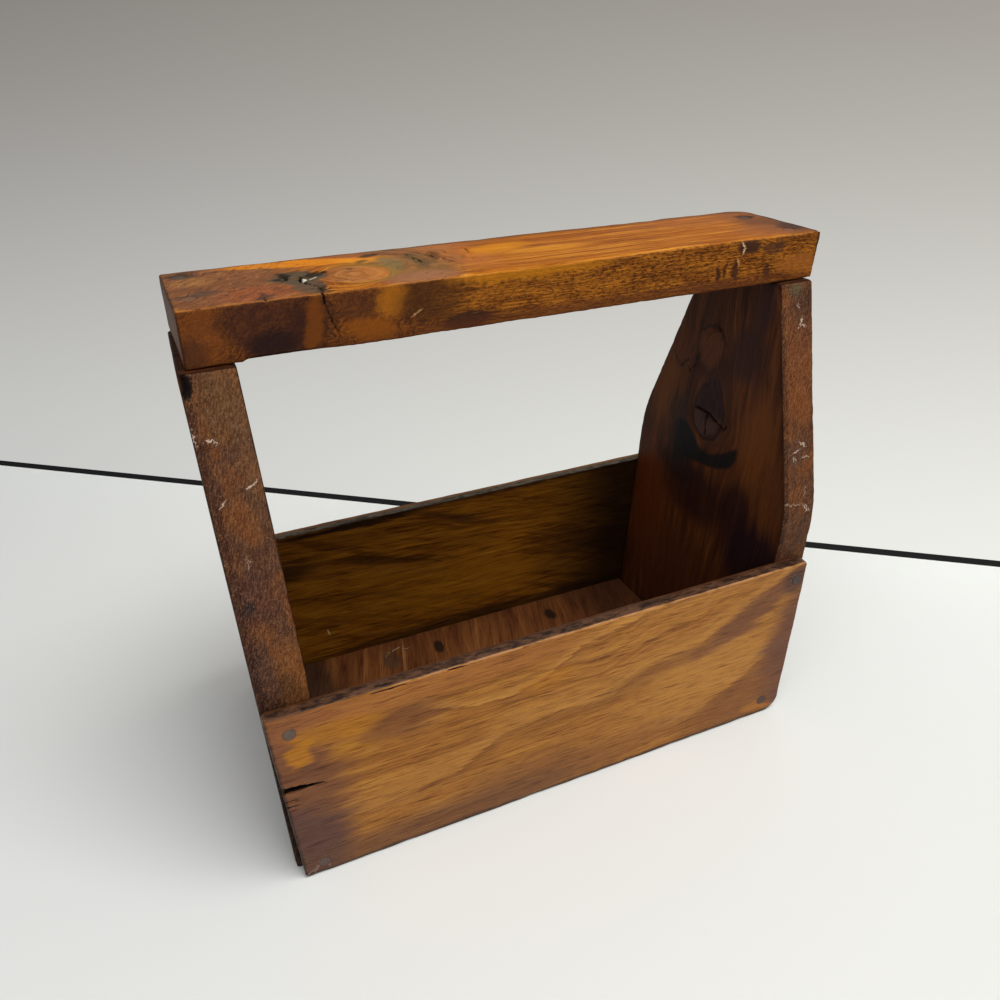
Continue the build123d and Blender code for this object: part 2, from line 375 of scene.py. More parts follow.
def cut_depth(spot, path):
    """Depth of a split or scratch at a spot on a face. Path: (u, v, half its width, its depth)."""
    deepest = 0.0
    for (u1, v1, w1, d1), (u2, v2, w2, d2) in zip(path, path[1:]):
        du, dv = u2 - u1, v2 - v1
        share = ((spot[0] - u1) * du + (spot[1] - v1) * dv) / (du * du + dv * dv)
        share = min(max(share, 0), 1)
        off = math.hypot(spot[0] - u1 - share * du, spot[1] - v1 - share * dv)
        width, depth = w1 + (w2 - w1) * share, d1 + (d2 - d1) * share
        if off < width:
            deepest = max(deepest, depth * smooth(1.6 * (1 - off / width)))
    return deepest


def dish(spot, middle, radius, depth, rim=0.8):
    """Depth of a round hollow with a steep rim, such as a nail head leaves."""
    off = math.hypot(spot[0] - middle[0], spot[1] - middle[1])
    return depth * smooth((radius + rim - off) / rim)


def round_corner(spot, corner, radius):
    """Shrinks the square corner of a board's outline, which lies round the origin, to an arc."""
    side = (-math.copysign(1, corner[0]), -math.copysign(1, corner[1]))
    off = [(spot[i] - corner[i]) * side[i] for i in (0, 1)]
    away = (radius - off[0], radius - off[1])
    if min(away) <= 0:
        return spot
    scale = max(away) / math.hypot(*away)
    return tuple(corner[i] + side[i] * (radius - away[i] * scale) for i in (0, 1))


def weather(bm, low, high, radius, wear, shape=None):
    """Rounds a block's arrises, bends it to its shape and cuts its wear into it.

    wear(point, block) gets a point's place on the tote and its place in the plain block. It gives
    how far the point goes in, and how much of that is a crack.
    """
    low, high = Vector(low), Vector(high)
    arris = bm.verts.layers.float.new("arris")
    cut = bm.verts.layers.float.new("cut")
    blocks = []
    for vert in bm.verts:
        block = vert.co.copy()
        blocks.append(block)
        gaps = sorted([*(block - low), *(high - block)])
        vert[arris] = smooth(1 - gaps[1] / 4)
        vert.co = ease(block, low, high, radius * (1 + 0.4 * rumple(block, 13, 5)))
        if shape:
            vert.co = shape(vert.co)
    bm.normal_update()
    facings = [vert.normal.copy() for vert in bm.verts]
    for vert, block, facing in zip(bm.verts, blocks, facings):
        depth, crack = wear(vert.co.copy(), block)
        rough = vert[arris] * (0.05 + 0.22 * max(0, rumple(block, 9, 2)))
        vert.co -= facing * (depth + crack + rough)
        vert[cut] = min(crack / 1.2, 1)
    return bm


def tote_piece(name, bm, material, slot, *nodes):
    """A finished piece in metres, which stands for its CAD nodes and rides on the tote."""
    bmesh.ops.translate(bm, vec=(datum, 0, 0), verts=bm.verts)
    bmesh.ops.scale(bm, vec=(0.001, 0.001, 0.001), verts=bm.verts)
    bmesh.ops.recalc_face_normals(bm, faces=bm.faces)
    mesh = bpy.data.meshes.new(name)
    bm.to_mesh(mesh)
    bm.free()
    mesh.shade_smooth()
    mesh.set_sharp_from_angle(angle=math.radians(50))
    mesh.materials.append(material)
    piece = bpy.data.objects.new(name, mesh)
    bpy.context.scene.collection.objects.link(piece)
    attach(piece, "root")
    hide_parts(*nodes)
    print(name, "has", len(mesh.polygons), "faces")
    return piece


# %% [markdown]
# ## Wood
# All the boards are the same softwood under one brown varnish, and differ in how they were sawn and
# in what happened to them. A single wood material for all would be shorter, but no two boards look
# alike. So these helpers draw what they share: bands of early and late wood, streaks, fine fibres,
# shade painted into the cuts, and the varnish. Each board then gives its own colours, the way its
# grain flows, and its own stains and painted shade and sheen, placed with a ruler's numbers.

# %% Shared wood
def grain(finish, flow, side, along, fine=1.0):
    """Bands, streaks and fibres along the grain. Flow and side run across it, in mm."""
    bands = finish.noise((along / 70, flow / (5 * fine), side / 9), 2)
    streaks = finish.noise((along / 24, flow / (1.2 * fine), side / 5), 4, 0.66)
    fibres = finish.noise((along / 15, flow / (0.42 * fine), side / 3), 3, 0.7)
    return bands, streaks, fibres


def shades(finish, share, *stops):
    """A ramp of wood colours, from dark to light: stops of (place, colour)."""
    stops = [(place, tint(*colour)) for place, colour in stops]
    return finish.node("ShaderNodeValToRGB", {"stops": stops}, {0: share})


def dabbed(finish, colour, place, face, dabs):
    """Lays dabs of colour on a face, which is (its axis, where it lies, how deep dabs go), in mm.

    A dab is its place on the face, its two half sizes, turn, soft rim, colour and strength.
    """
    axis, level, depth = face
    for across, up, wide, tall, turn, soft, shade, strength in dabs:
        middle, size, turns = [across, up], [wide, tall], [0, 0]
        for values, value in ((middle, level), (size, depth), (turns, turn)):
            values.insert(axis, value)
        colour = finish.mix(finish.spot(place, middle, size, turns, soft) * strength, colour, shade)
    return colour


def lined(finish, colour, streaks, fibres, strength):
    """Multiplies fine dark lines into a colour, which keeps its hue, and adds a few pale ones."""
    dark, pale = (160, 126, 94), (245, 205, 140)
    colour = finish.mix(fibres.fade(0.5, 0.34) * strength, colour, dark, "MULTIPLY")
    colour = finish.mix(streaks.fade(0.46, 0.3) * strength * 0.8, colour, dark, "MULTIPLY")
    return finish.mix(fibres.fade(0.54, 0.7) * strength * 0.3, colour, pale, "SOFT_LIGHT")


def varnished(finish, colour, height, roughness, coat=0.0, depth=0.3, shine=0.12):
    """The last of every wood finish: painted shade in the cuts, varnish, and a bump of that depth
    in mm.
    """
    # Painted shade: splits are darkened as deep as they were cut
    colour = finish.mix(finish.attribute("cut").fade(0.1, 0.8), colour, (16, 10, 7))
    inputs = {"Strength": 1.0, "Distance": depth / 1000, "Height": height}
    bump = finish.node("ShaderNodeBump", inputs=inputs)
    inputs = {
        "Base Color": colour,
        "Roughness": roughness,
        "Normal": bump,
        "Specular IOR Level": shine,
        "Coat Weight": coat,
        "Coat Roughness": 0.25,
    }
    shader = finish.node("ShaderNodeBsdfPrincipled", inputs=inputs)
    finish.node("ShaderNodeOutputMaterial", inputs={0: shader})
    return finish.material


# %% [markdown]
# ## The front board
# A thin board, nailed at its four corners to the end boards' edges. Its ends are cut out of square,
# its lower right corner is worn round, and its left end has split along the grain. Golden brown
# bands rise to the right, and a purple-brown sheen is painted over both ends. Noise alone could
# draw such bands, but not in their places, so each edge of a band is a curve through a few points,
# which the grain then makes ragged.

# %% Front board finish
wood = Finish("front_board_wood")
x, y, z = wood.x, wood.y, wood.z
ripple = (wood.noise((x / 26, z / 9), 3) - 0.5) * 3.4
flow = z + ripple
bands, streaks, fibres = grain(wood, flow, y, x)
colour = shades(
    wood,
    bands * 0.4 + streaks * 0.35 + fibres * 0.25,
    (0.36, (126, 76, 26)),
    (0.46, (150, 95, 34)),
    (0.56, (168, 111, 41)),
    (0.68, (188, 132, 56)),
)
ragged_z = flow + (streaks - 0.5) * 9
# The light band that rises to the right, with a sharp lower side
lower = [(-140, 30), (-65, 36), (-43, 49), (-5, 51), (12, 50), (36, 60), (70, 66), (79, 72)]
lower = wood.curve(x, *lower, (103, 80), (128, 98))
height = ragged_z - lower
light_band = height.fade(-0.4, 0.5) * height.fade(17, 3)
rings = wood.noise((x / 240, (flow - lower + (streaks - 0.5) * 4) / 3.2), 2)
above = height.fade(0, 3) * x.fade(-70, 10)
colour = wood.mix(rings.fade(0.42, 0.6) * above * 0.3, colour, (198, 138, 66))
colour = wood.mix(rings.fade(0.46, 0.32) * above * 0.3, colour, (134, 82, 30))
colour = wood.mix(light_band * 0.45, colour, (190, 134, 62))
under_line = height.fade(-9, -0.6) * height.fade(0.4, -0.4)
colour = wood.mix(under_line * 0.38, colour, (116, 70, 32))
# A second, thinner contour above it
second = [(-95, 83), (-78, 79), (-62, 73), (-43, 72), (-25, 75), (-14, 80), (-2, 88), (20, 93)]
second = wood.curve(x, *second, (60, 100))
height = ragged_z - second
second_band = height.fade(-0.3, 0.4) * height.fade(7, 1) * x.fade(-100, -80)
colour = wood.mix(second_band * 0.5, colour, (204, 146, 70))
second_line = height.fade(-4, -0.6) * height.fade(0.4, -0.4) * x.fade(-90, -60)
colour = wood.mix(second_line * 0.45, colour, (122, 72, 26))
# The pale patch at the right, cut off below by a slanting line
slant = wood.curve(x, (20, 8), (62, 13.5), (78, 21), (92, 29), (106, 37), (135, 52))
height = ragged_z - slant
right_patch = height.fade(-0.5, 1.5) * wood.spot(
    wood.place, (80, -75, 42), (50, 30, 24), (0, -14, 0), 1.0
)
colour = wood.mix(right_patch * 0.5, colour, (196, 138, 62))
below_slant = height.fade(0.5, -1.5) * x.fade(40, 90)
colour = wood.mix(below_slant * 0.55, colour, (132, 82, 36))
soft_place = wood.at(x + (bands - 0.5) * 22, y, z + ripple + (streaks - 0.5) * 5)
# Stains on the face, and a painted purple-brown sheen over both ends
end_stains_and_sheen = [
    (-156, 40, 38, 62, 0, 0.5, (110, 68, 48), 0.8),
    (-148, 16, 28, 30, 0, 0.5, (86, 58, 52), 0.8),
    (-146, 92, 30, 14, 0, 0.8, (136, 84, 52), 0.6),
    (-139, 76, 5.5, 9, 6, 0.7, (182, 118, 24), 0.85),
    (-122, 84, 18, 6, 0, 0.9, (178, 116, 24), 0.7),
    (-118, 70, 9, 5, 0, 0.9, (180, 120, 26), 0.6),
    (-90, 77, 18, 9, 0, 0.9, (112, 66, 36), 0.7),
    (-136, 66, 22, 3, 0, 0.9, (104, 62, 40), 0.6),
    (-20, 74, 14, 5, 0, 0.9, (184, 120, 30), 0.5),
    (142, 44, 28, 46, 12, 0.5, (104, 64, 48), 0.88),
    (106, 79, 32, 7.5, -28, 0.6, (110, 67, 44), 0.75),
    (88, 66, 26, 6, -18, 0.8, (120, 74, 44), 0.75),
    (45, 58, 34, 5, -10, 0.9, (140, 90, 40), 0.6),
    (104, 18, 30, 13, -20, 0.8, (130, 80, 40), 0.5),
    (129, 89, 9, 8, 0, 0.8, (84, 54, 44), 0.85),
    (10, 14, 60, 8, -4, 1.0, (140, 88, 40), 0.5),
    (-70, 7, 74, 10, 0, 1.0, (104, 68, 46), 0.7),
    (-30, 20, 34, 8, 0, 1.0, (120, 76, 42), 0.5),
    (114, 6, 9, 4, 0, 0.9, (176, 112, 34), 0.7),
    (-70, 92, 70, 6, 0, 0.9, (160, 98, 48), 0.6),
]
front_face = (1, -75, 30)
colour = dabbed(wood, colour, soft_place, front_face, end_stains_and_sheen)
colour = lined(wood, colour, streaks, fibres, 0.8)
# The top edge is dirty grey-brown and its front arris is rubbed pale. A painted shadow darkens the
# foot, where the board stands on the table.
mottle = wood.noise((x / 6, y / 2, z / 2), 4, 0.65)
edge_colour = wood.mix(mottle.fade(0.36, 0.66), (36, 24, 18), (94, 64, 46))
colour = wood.mix(z.fade(98.5, 99.0), colour, edge_colour)
# Painted shadow along the foot
foot = (z + (mottle - 0.5) * 4).fade(3.4, 0.8)
colour = wood.mix(foot * 0.85, colour, (52, 36, 26))
arris_rub = z.fade(97.0, 98.4) * z.fade(99.1, 98.6) * y.fade(-74, -74.6)
arris_rub = arris_rub * x.fade(-115, -75) * mottle.fade(0.3, 0.55)
colour = wood.mix(arris_rub * 0.75, colour, (206, 148, 96))
# A dark band along the left end's slanted cut
left_end_dark_band = (x + z * 0.0642 + (mottle - 0.5) * 3).fade(-142.6, -144.4)
colour = wood.mix(left_end_dark_band * 0.85, colour, (40, 28, 22))
colour = wood.mix(y.fade(-71, -69) * 0.8, colour, (72, 40, 16))
# Pale scribbles by the lower left nail
wiggle = wood.noise((x / 2, y, z / 2), 1)
scribble_place = wood.at(x + (wiggle - 0.5) * 5, y, z)
scuff = (150, 128, 112)
scribbles = [
    (-138.5, 5, 0.35, 4, 30, 0.9, scuff, 0.8),
    (-134, 6.5, 0.35, 4, -10, 0.9, scuff, 0.8),
    (-142, 3, 0.35, 3, 50, 0.9, scuff, 0.7),
]
colour = dabbed(wood, colour, scribble_place, (1, -75, 4), scribbles)
front_wood = varnished(
    wood, colour, streaks * 0.5 + fibres * 0.5, 0.46 - 0.1 * bands.fade(0.3, 0.7), 0.06
)

# %% Front board
def left_outer(height, y=0):
    """X of the left end board's outer face. The board leans out, and its rear edge turns in."""
    return -144.7805 - 0.036698 * height + 0.040164 * y


def right_outer(height):
    return 129.515 + 0.082215 * height


# The block that the front and rear boards are cut from
side_left, side_right, side_height = -151.05, 134.1, 99.4


def cut_ends(point, left, right, low_left_radius, low_right_radius):
    """Brings a side board's ends to where they are cut at this height, and rounds its corners."""
    share = (point.x - side_left) / (side_right - side_left)
    point.x = left + (right - left) * share
    low_corners = ((left, 0, low_left_radius), (right, 0, low_right_radius))
    for x, z, radius in ((left, side_height, 3), (right, side_height, 3), *low_corners):
        # Corners are rounded about the board's own middle height
        middle = side_height / 2
        point.x, up = round_corner((point.x, point.z - middle), (x, z - middle), radius)
        point.z = up + middle
    return point


front_nail_spots = [(-140.96, 88.4), (-135.05, 6.5), (117.78, 9.3), (128.28, 88.4)]
end_split = [(-152, 57.6, 2.3, 6), (-143, 57.4, 1.8, 5), (-136, 56.8, 1.1, 3), (-129, 56, 0.4, 0.6)]
small_splits = [
    [(-152, 51.2, 0.9, 3), (-147, 51, 0.6, 2), (-142, 50.7, 0.3, 0.6)],
    [(-152, 47.6, 0.9, 3), (-147, 47.5, 0.6, 2), (-141, 47.2, 0.3, 0.5)],
    [(-152, 45, 0.8, 3), (-147, 45, 0.5, 2), (-143, 44.9, 0.3, 0.5)],
    [(-152, 66, 0.5, 1), (-146, 65.6, 0.3, 0.5), (-138, 65, 0.2, 0.2)],
    [(-69, 97.6, 0.6, 1.5), (-65, 97.2, 0.7, 2), (-61, 97.4, 0.4, 1)],
    [(-104, 97.2, 0.4, 1), (-96, 97, 0.6, 1.4), (-89, 97.1, 0.4, 0.8)],
]


def front_wear(point, block):
    spot = (point.x, point.z)
    depth = 0.12 * (1 + rumple(point, (60, 9, 14)))
    depth += 0.05 * (1 + rumple(point, (14, 3, 1.6), 3))
    crack = 0.0
    if block.y < -71:
        for path in [end_split, *small_splits]:
            jagged = (spot[0], spot[1] + 0.15 * rumple(point, 2.2, 4))
            crack = max(crack, cut_depth(jagged, path))
        for middle in front_nail_spots:
            depth += dish(spot, middle, 3.05, 0.4, 0.6)
    # The left end is broken back in steps, and the lower edge is chewed
    if block.x < -149.5:
        depth += 0.9 * max(0, rumple(point, (30, 30, 5), 6))
    if block.z < 3:
        depth += 0.4 * max(0, rumple(point, (11, 5, 30), 7)) * smooth(1 - block.z / 3)
    return depth, crack


def front_ends(height):
    """X of the front board's ends, which are cut out of square."""
    share = height / side_height
    return -144.71 - 6.35 * share, 129.2 + 4.9 * share


def front_shape(point):
    return cut_ends(point, *front_ends(point.z), 2, 9)


def block_x(x, height):
    """Where a place on the front board lies in its block, before its ends are cut."""
    left, right = front_ends(height)
    return side_left + (x - left) / (right - left) * (side_right - side_left)


nail_places = [block_x(*spot) for spot in front_nail_spots]
nail_columns = [(place - 5, place + 5, 0.7) for place in nail_places]
nail_layers = [(spot[1] - 5, spot[1] + 5, 0.7) for spot in front_nail_spots]
end_columns = [(side_left, -144, 0.5), (-144, -126, 1.0), (133, side_right, 0.3)]
split_layers = [(0, 1.2, 0.3), (43, 61, 0.5), (95, side_height, 0.4)]
front_block = gridded_block(
    lines(side_left, side_right, 2.0, *end_columns, *nail_columns),
    lines(-75, -68, 1.4, (-75, -74, 0.3), (-69, -68, 0.3)),
    lines(0, side_height, 1.8, *split_layers, *nail_layers),
)
front_low, front_high = (side_left, -75, 0), (side_right, -68, side_height)
weather(front_block, front_low, front_high, 0.9, front_wear, front_shape)
tote_piece("front_board_worn", front_block, front_wood, "front_board", "front_board")

# %% [markdown]
# ## The handle bar
# A thick bar that lies flat across the end boards. Its left half holds a big tan knot with a
# cracked black patch beside it, and grain that swirls round both; its right half is straight and
# amber. The top is rubbed smooth, and its shine is painted: a golden sheen round the middle and a
# painted highlight along the front arris. The front keeps the marks of a rough saw. One wood could
# cover the whole bar, but the two faces share little, so each gets its own colours and they meet at
# the front arris. The grain is bent round the knot before its noise is read.

# %% Handle finish
def round_knot(finish, across, along, middle, radii):
    """Bends the grain round a knot, as water round a post. Gives the bend and the distance."""
    off_across, off_along = across - middle[0], along - middle[1]
    scaled = finish.at(off_across / radii[0], off_along / radii[1])
    distance = finish.vector("LENGTH", scaled, output=1)
    return across - off_across / (distance * distance).above(1.0), distance


wood = Finish("handle_wood")
x, y, z = wood.x, wood.y, wood.z
crook = (wood.noise((x / 9, y / 9, z / 9), 2) - 0.5) * 9
knot_flow, knot_off = round_knot(wood, y + crook * 0.5, x + crook * 0.5, (-2, -76), (14, 15))
swirl = x.fade(0, -45)
sway = (wood.noise((x / 42, y / 26, z / 30), 2) - 0.5) * (3 + swirl * 34)
flow = knot_flow + sway + z * 0.9 + crook * swirl
bands, streaks, fibres = grain(wood, flow, z * 0.5, x, 0.9)
straight = wood.noise((x / 150, (y + sway) / 1.9, z / 9), 4, 0.7)
tone = (bands * 0.45 + streaks * 0.55) * swirl + (straight * 0.7 + streaks * 0.3) * (1 - swirl)
top_colour = shades(
    wood,
    tone,
    (0.36, (108, 54, 14)),
    (0.46, (148, 80, 20)),
    (0.54, (174, 103, 26)),
    (0.66, (214, 148, 54)),
)
# Slanting hatch marks at the left end, where the grain dives round the knot
hatch = wood.noise(((x - y + crook) / 1.7, (x + y) / 9, z / 9), 3, 0.65)
soft_place = wood.at(x + (bands - 0.5) * 14 + crook * 0.4, y + crook * 0.5, z)
# Stains on the top, and a painted golden sheen round its middle
top_stains_and_sheen = [
    (-132, 4, 34, 60, 0, 0.6, (118, 76, 50), 0.88),
    (-141, 14, 9, 8, 0, 0.9, (160, 112, 60), 0.6),
    (-118, -16, 14, 12, 0, 0.9, (148, 78, 44), 0.6),
    (-48, 8, 20, 30, 12, 0.6, (134, 96, 56), 0.85),
    (-52, -20, 16, 10, 0, 0.7, (146, 100, 72), 0.8),
    (-56, 30, 44, 8, -4, 0.8, (140, 86, 54), 0.8),
    (-92, 26, 36, 6, -10, 0.5, (214, 130, 24), 0.95),
    (-68, 19, 12, 4, -24, 0.7, (222, 142, 36), 0.8),
    # Painted sheen: golden patches round the middle of the top
    (-24, 12, 12, 26, 8, 0.8, (180, 106, 50), 0.7),
    (-4, 14, 16, 8, 10, 0.9, (206, 130, 20), 0.8),
    (16, 2, 24, 5, 0, 0.9, (214, 142, 38), 0.6),
    (144, 6, 16, 40, 0, 0.8, (104, 64, 42), 0.85),
    (146, -10, 9, 9, 0, 0.7, (82, 56, 44), 0.85),
    (112, 22, 40, 12, 0, 1.0, (158, 92, 42), 0.6),
    (130, -12, 16, 12, 0, 0.9, (150, 90, 46), 0.6),
    (50, 35, 120, 4, 0, 0.9, (110, 64, 30), 0.7),
]
bar_top, bar_front = (2, 258, 6), (1, -27, 5)
top_colour = dabbed(wood, top_colour, soft_place, bar_top, top_stains_and_sheen)
hatched = x.fade(-80, -112) * z.fade(255, 257)
top_colour = wood.mix(hatch.fade(0.53, 0.62) * hatched * 0.7, top_colour, (84, 60, 44))
top_colour = wood.mix(hatch.fade(0.45, 0.36) * hatched * 0.5, top_colour, (168, 112, 74))
# The knot: tan rings, with an olive rim on its right
rings = wood.noise((knot_off * 5, x / 20, y / 20), 3)
in_knot = (knot_off + crook * 0.02).fade(1.08, 0.94)
knot_colour = wood.mix(rings.fade(0.35, 0.65), (142, 84, 38), (176, 120, 66))
knot_colour = wood.mix(x.fade(-80, -60) * 0.5, knot_colour, (186, 110, 44))
top_colour = wood.mix(in_knot * z.fade(255.5, 257) * 0.9, top_colour, knot_colour)
knot_rim = knot_off.fade(0.94, 1.1) * knot_off.fade(1.4, 1.15) * x.fade(-90, -66)
top_colour = wood.mix(knot_rim * 0.7, top_colour, (138, 108, 50))
# Growth rings crowd together beyond the knot, as dark curved lines over grey-olive wood
beyond = knot_off.fade(1.15, 1.4) * x.fade(-66, -58) * x.fade(-14, -34)
beyond = beyond * y.fade(-12, 5)
curls = wood.noise((knot_off * 7 + crook * 0.12, y / 26, z / 9), 3, 0.6)
top_colour = wood.mix(beyond * curls.fade(0.5, 0.6) * 0.6, top_colour, (132, 104, 66))
top_colour = wood.mix(beyond * curls.fade(0.47, 0.38) * 0.8, top_colour, (74, 50, 32))
black_marks = [
    (-99, 3, 11, 10, 10, 0.3, (84, 74, 58), 0.92),
    (-98, -13, 6.5, 13, 0, 0.45, (86, 74, 60), 0.85),
    (-105, 6, 2.4, 7, -10, 0.6, (40, 34, 30), 0.9),
    (-90, 6, 2.6, 6.5, -40, 0.6, (40, 34, 30), 0.9),
    (-93, -22, 2.2, 7, 0, 0.6, (46, 38, 32), 0.9),
    (-118, -23, 3, 8, 0, 0.7, (70, 54, 46), 0.85),
    (-140, -7, 9, 3.5, 18, 0.9, (84, 68, 58), 0.75),
    (-143, 27, 5.5, 5, 0, 0.6, (66, 54, 44), 0.85),
    (-62, 26, 5, 2, 30, 0.7, (56, 42, 34), 0.85),
    (-67, 17, 3, 3, 0, 0.8, (98, 76, 44), 0.8),
    (-56, 9, 4, 12, 10, 0.8, (120, 104, 66), 0.7),
    (-44, 8, 3.5, 14, 6, 0.8, (82, 66, 44), 0.7),
    (-35, 13, 2.6, 9, -10, 0.8, (84, 58, 36), 0.7),
    (-76, 6.5, 2.4, 1.2, 30, 0.8, (90, 56, 40), 0.8),
    (-99, -3, 1.5, 2.2, 0, 0.6, (232, 226, 212), 0.95),
    (-95, 0, 1.8, 0.7, 20, 0.6, (200, 192, 176), 0.8),
    (141, 18, 6, 4, 20, 0.7, (64, 44, 30), 0.85),
    (146, -10, 6, 7, 0, 0.8, (60, 42, 36), 0.7),
]
top_colour = dabbed(wood, top_colour, soft_place, bar_top, black_marks)
top_colour = lined(wood, top_colour, streaks, fibres, 0.6)
# The sawn front: crisp dark flecks over gold, and slanting torn fibres at the left
flecks = wood.noise((x / 2.6, z / 0.9, 3), 4, 0.72)
patches = wood.noise((x / 18, z / 9, 9), 3, 0.6)
bend = (patches - 0.5) * 16
slants = wood.noise(((x - z * 0.6 + bend) / 1.1, (z + x * 0.5) / 5, 5), 4, 0.7)
gold_lines = wood.noise((x / 24, z / 0.7, 5), 4, 0.68)
front_colour = wood.mix(patches.fade(0.36, 0.62), (108, 60, 22), (142, 84, 28))
front_colour = wood.mix(gold_lines.fade(0.5, 0.62) * 0.6, front_colour, (186, 116, 34))
front_colour = wood.mix(gold_lines.fade(0.47, 0.36) * 0.75, front_colour, (68, 36, 14))
flecked = flecks.fade(0.5, 0.42) * (0.65 + x.fade(-20, 60) * 0.2)
front_colour = wood.mix(flecked, front_colour, (58, 31, 17))
front_colour = wood.mix(flecks.fade(0.56, 0.64) * 0.45, front_colour, (182, 112, 42))
torn = (x + (patches - 0.5) * 30).fade(-35, -62)
torn_colour = wood.mix(slants.fade(0.4, 0.6), (52, 30, 22), (118, 66, 28))
torn_colour = wood.mix(flecks.fade(0.5, 0.4) * 0.5, torn_colour, (44, 26, 22))
front_colour = wood.mix(torn * 0.85, front_colour, torn_colour)
# Stains on the sawn front, and a painted golden sheen by the top arris
front_stains_and_sheen = [
    (-143, 247, 8, 14, 0, 0.8, (112, 62, 28), 0.6),
    (-147, 240, 5, 8, 0, 0.8, (60, 36, 28), 0.6),
    (-118, 248, 19, 12, 20, 0.6, (58, 34, 28), 0.7),
    (-101, 248, 9, 14, 10, 0.8, (50, 30, 24), 0.7),
    (-117, 240, 10, 6, 0, 0.7, (34, 24, 24), 0.8),
    (-100, 246, 4, 12, 10, 0.7, (122, 66, 22), 0.6),
    (-82, 251, 9, 6, 10, 0.6, (78, 45, 28), 0.6),
    (-78, 241, 11, 5, 10, 0.7, (134, 74, 22), 0.7),
    (-68, 252, 6, 7, 30, 1.0, (172, 104, 26), 0.6),
    (-50, 250, 15, 9, 0, 0.8, (62, 38, 22), 0.7),
    (-36, 239, 11, 4, 0, 0.7, (36, 26, 26), 0.85),
    # Painted sheen along the top of the front
    (-5, 256, 34, 3, 0, 0.9, (190, 120, 26), 0.5),
    (110, 255, 7, 3.6, 0, 0.6, (50, 32, 28), 0.9),
    (124, 253, 6, 3, 0, 0.7, (66, 42, 32), 0.7),
    (93, 244, 1.3, 4.5, 12, 0.7, (52, 30, 22), 0.85),
    (97, 245, 1.0, 3.5, 12, 0.7, (52, 30, 22), 0.8),
    (103, 244, 1.6, 5, -10, 0.7, (50, 30, 24), 0.85),
    (120, 242, 1.8, 4, 0, 0.7, (58, 36, 26), 0.8),
    (140, 243, 12, 5, 0, 0.9, (150, 88, 36), 0.6),
    (40, 237, 110, 4, 0, 1.0, (84, 46, 28), 0.65),
]
front_x = x + (patches - 0.5) * 10 + (flecks - 0.5) * 3
front_z = z + (flecks - 0.5) * 4 + (patches - 0.5) * 4
front_place = wood.at(front_x, y, front_z)
front_colour = dabbed(wood, front_colour, front_place, bar_front, front_stains_and_sheen)
scratch_place = wood.at(x + (flecks - 0.5) * 5, y, z)
pale_nicks = [
    (105.6, 255.8, 0.4, 1.5, -30, 0.8, (222, 190, 140), 0.9),
    (106, 252.8, 0.4, 1.8, 25, 0.8, (222, 190, 140), 0.9),
    (103.5, 248, 0.4, 2, -20, 0.8, (184, 140, 84), 0.8),
    (-58, 245, 2.6, 0.3, -30, 0.9, (196, 150, 96), 0.6),
]
front_colour = dabbed(wood, front_colour, scratch_place, (1, -27, 4), pale_nicks)
on_front = (y + (flecks - 0.5) * 1.2).fade(-25.3, -26.3)
colour = wood.mix(on_front, top_colour, front_colour)
colour = wood.mix(z.fade(236.6, 235.6) * 0.8, colour, (84, 46, 22))
arris = wood.attribute("arris")
# Painted highlight: a golden light along the rubbed front top arris
rubbed_arris_highlight = arris * z.fade(255, 257) * y.fade(-20, -24.5) * y.fade(-27.2, -26)
colour = wood.mix(rubbed_arris_highlight * streaks.fade(0.36, 0.54) * 0.7, colour, (216, 140, 60))
chipped = rubbed_arris_highlight * x.fade(40, 90) * flecks.fade(0.54, 0.44)
colour = wood.mix(chipped * 0.9, colour, (54, 32, 24))
colour = wood.mix(arris * y.fade(31, 34) * 0.7, colour, (84, 52, 30))
# Painted shade: the bar's end faces are darkened
on_end = x.size().fade(149.4, 150.8)
colour = wood.mix(on_end * 0.85, colour, (52, 29, 18))
relief = wood.mix(on_front, streaks * 0.5 + fibres * 0.2, flecks * 0.6 + slants * torn * 0.6)
gloss_wear = 0.36 + on_front * 0.16 + (streaks - 0.5) * 0.2
handle_wood = varnished(wood, colour, relief, gloss_wear, 0.0, 0.4, 0.012)

# %% Handle bar
handle_nail_spots = [(-143.6, -10), (-143.6, 25.5), (141.14, -16), (141.14, 18.4)]
handle_low, handle_high = (-151, -27.5, 235), (152.54, 35.5, 257.8)
top_cracks = [
    [(-94, 10, 0.6, 1), (-89, 7, 1.2, 2.4), (-85, 4, 0.4, 0.8)],
    [(-106, 10, 0.4, 0.6), (-103, 4, 0.9, 1.8), (-106, -2, 0.5, 0.8)],
    [
        *[(-97, 6, 0.5, 0.8), (-99, -2, 1.1, 2.0), (-97, -8, 0.8, 1.2), (-94, -16, 0.6, 0.8)],
        (-95, -27, 0.8, 1.2),
    ],
    [(-119, -14, 0.3, 0.3), (-118, -21, 0.6, 0.7), (-117, -27, 0.7, 0.6)],
    [(-46, 20, 0.3, 0.5), (-44, 10, 0.7, 1.2), (-43, 2, 0.3, 0.4)],
    [(-39, 20, 0.3, 0.5), (-36, 16, 0.6, 1.0), (-35, 6, 0.3, 0.4)],
    [(-19, 23, 0.4, 0.6), (-17, 20, 0.5, 0.9), (-19, 8, 0.4, 0.6), (-22, -3, 0.3, 0.4)],
    [(-64, 27, 0.4, 0.7), (-60, 28, 0.6, 1.0), (-57, 27, 0.3, 0.4)],
    [(-137, 23, 0.3, 0.4), (-138, 17, 0.4, 0.7), (-139, 13, 0.3, 0.3)],
]
front_crack = [(-95.5, 258, 0.8, 1.2), (-94.6, 251, 0.6, 0.8), (-92, 244, 0.6, 0.8)]
front_crack.append((-88, 238, 0.4, 0.4))


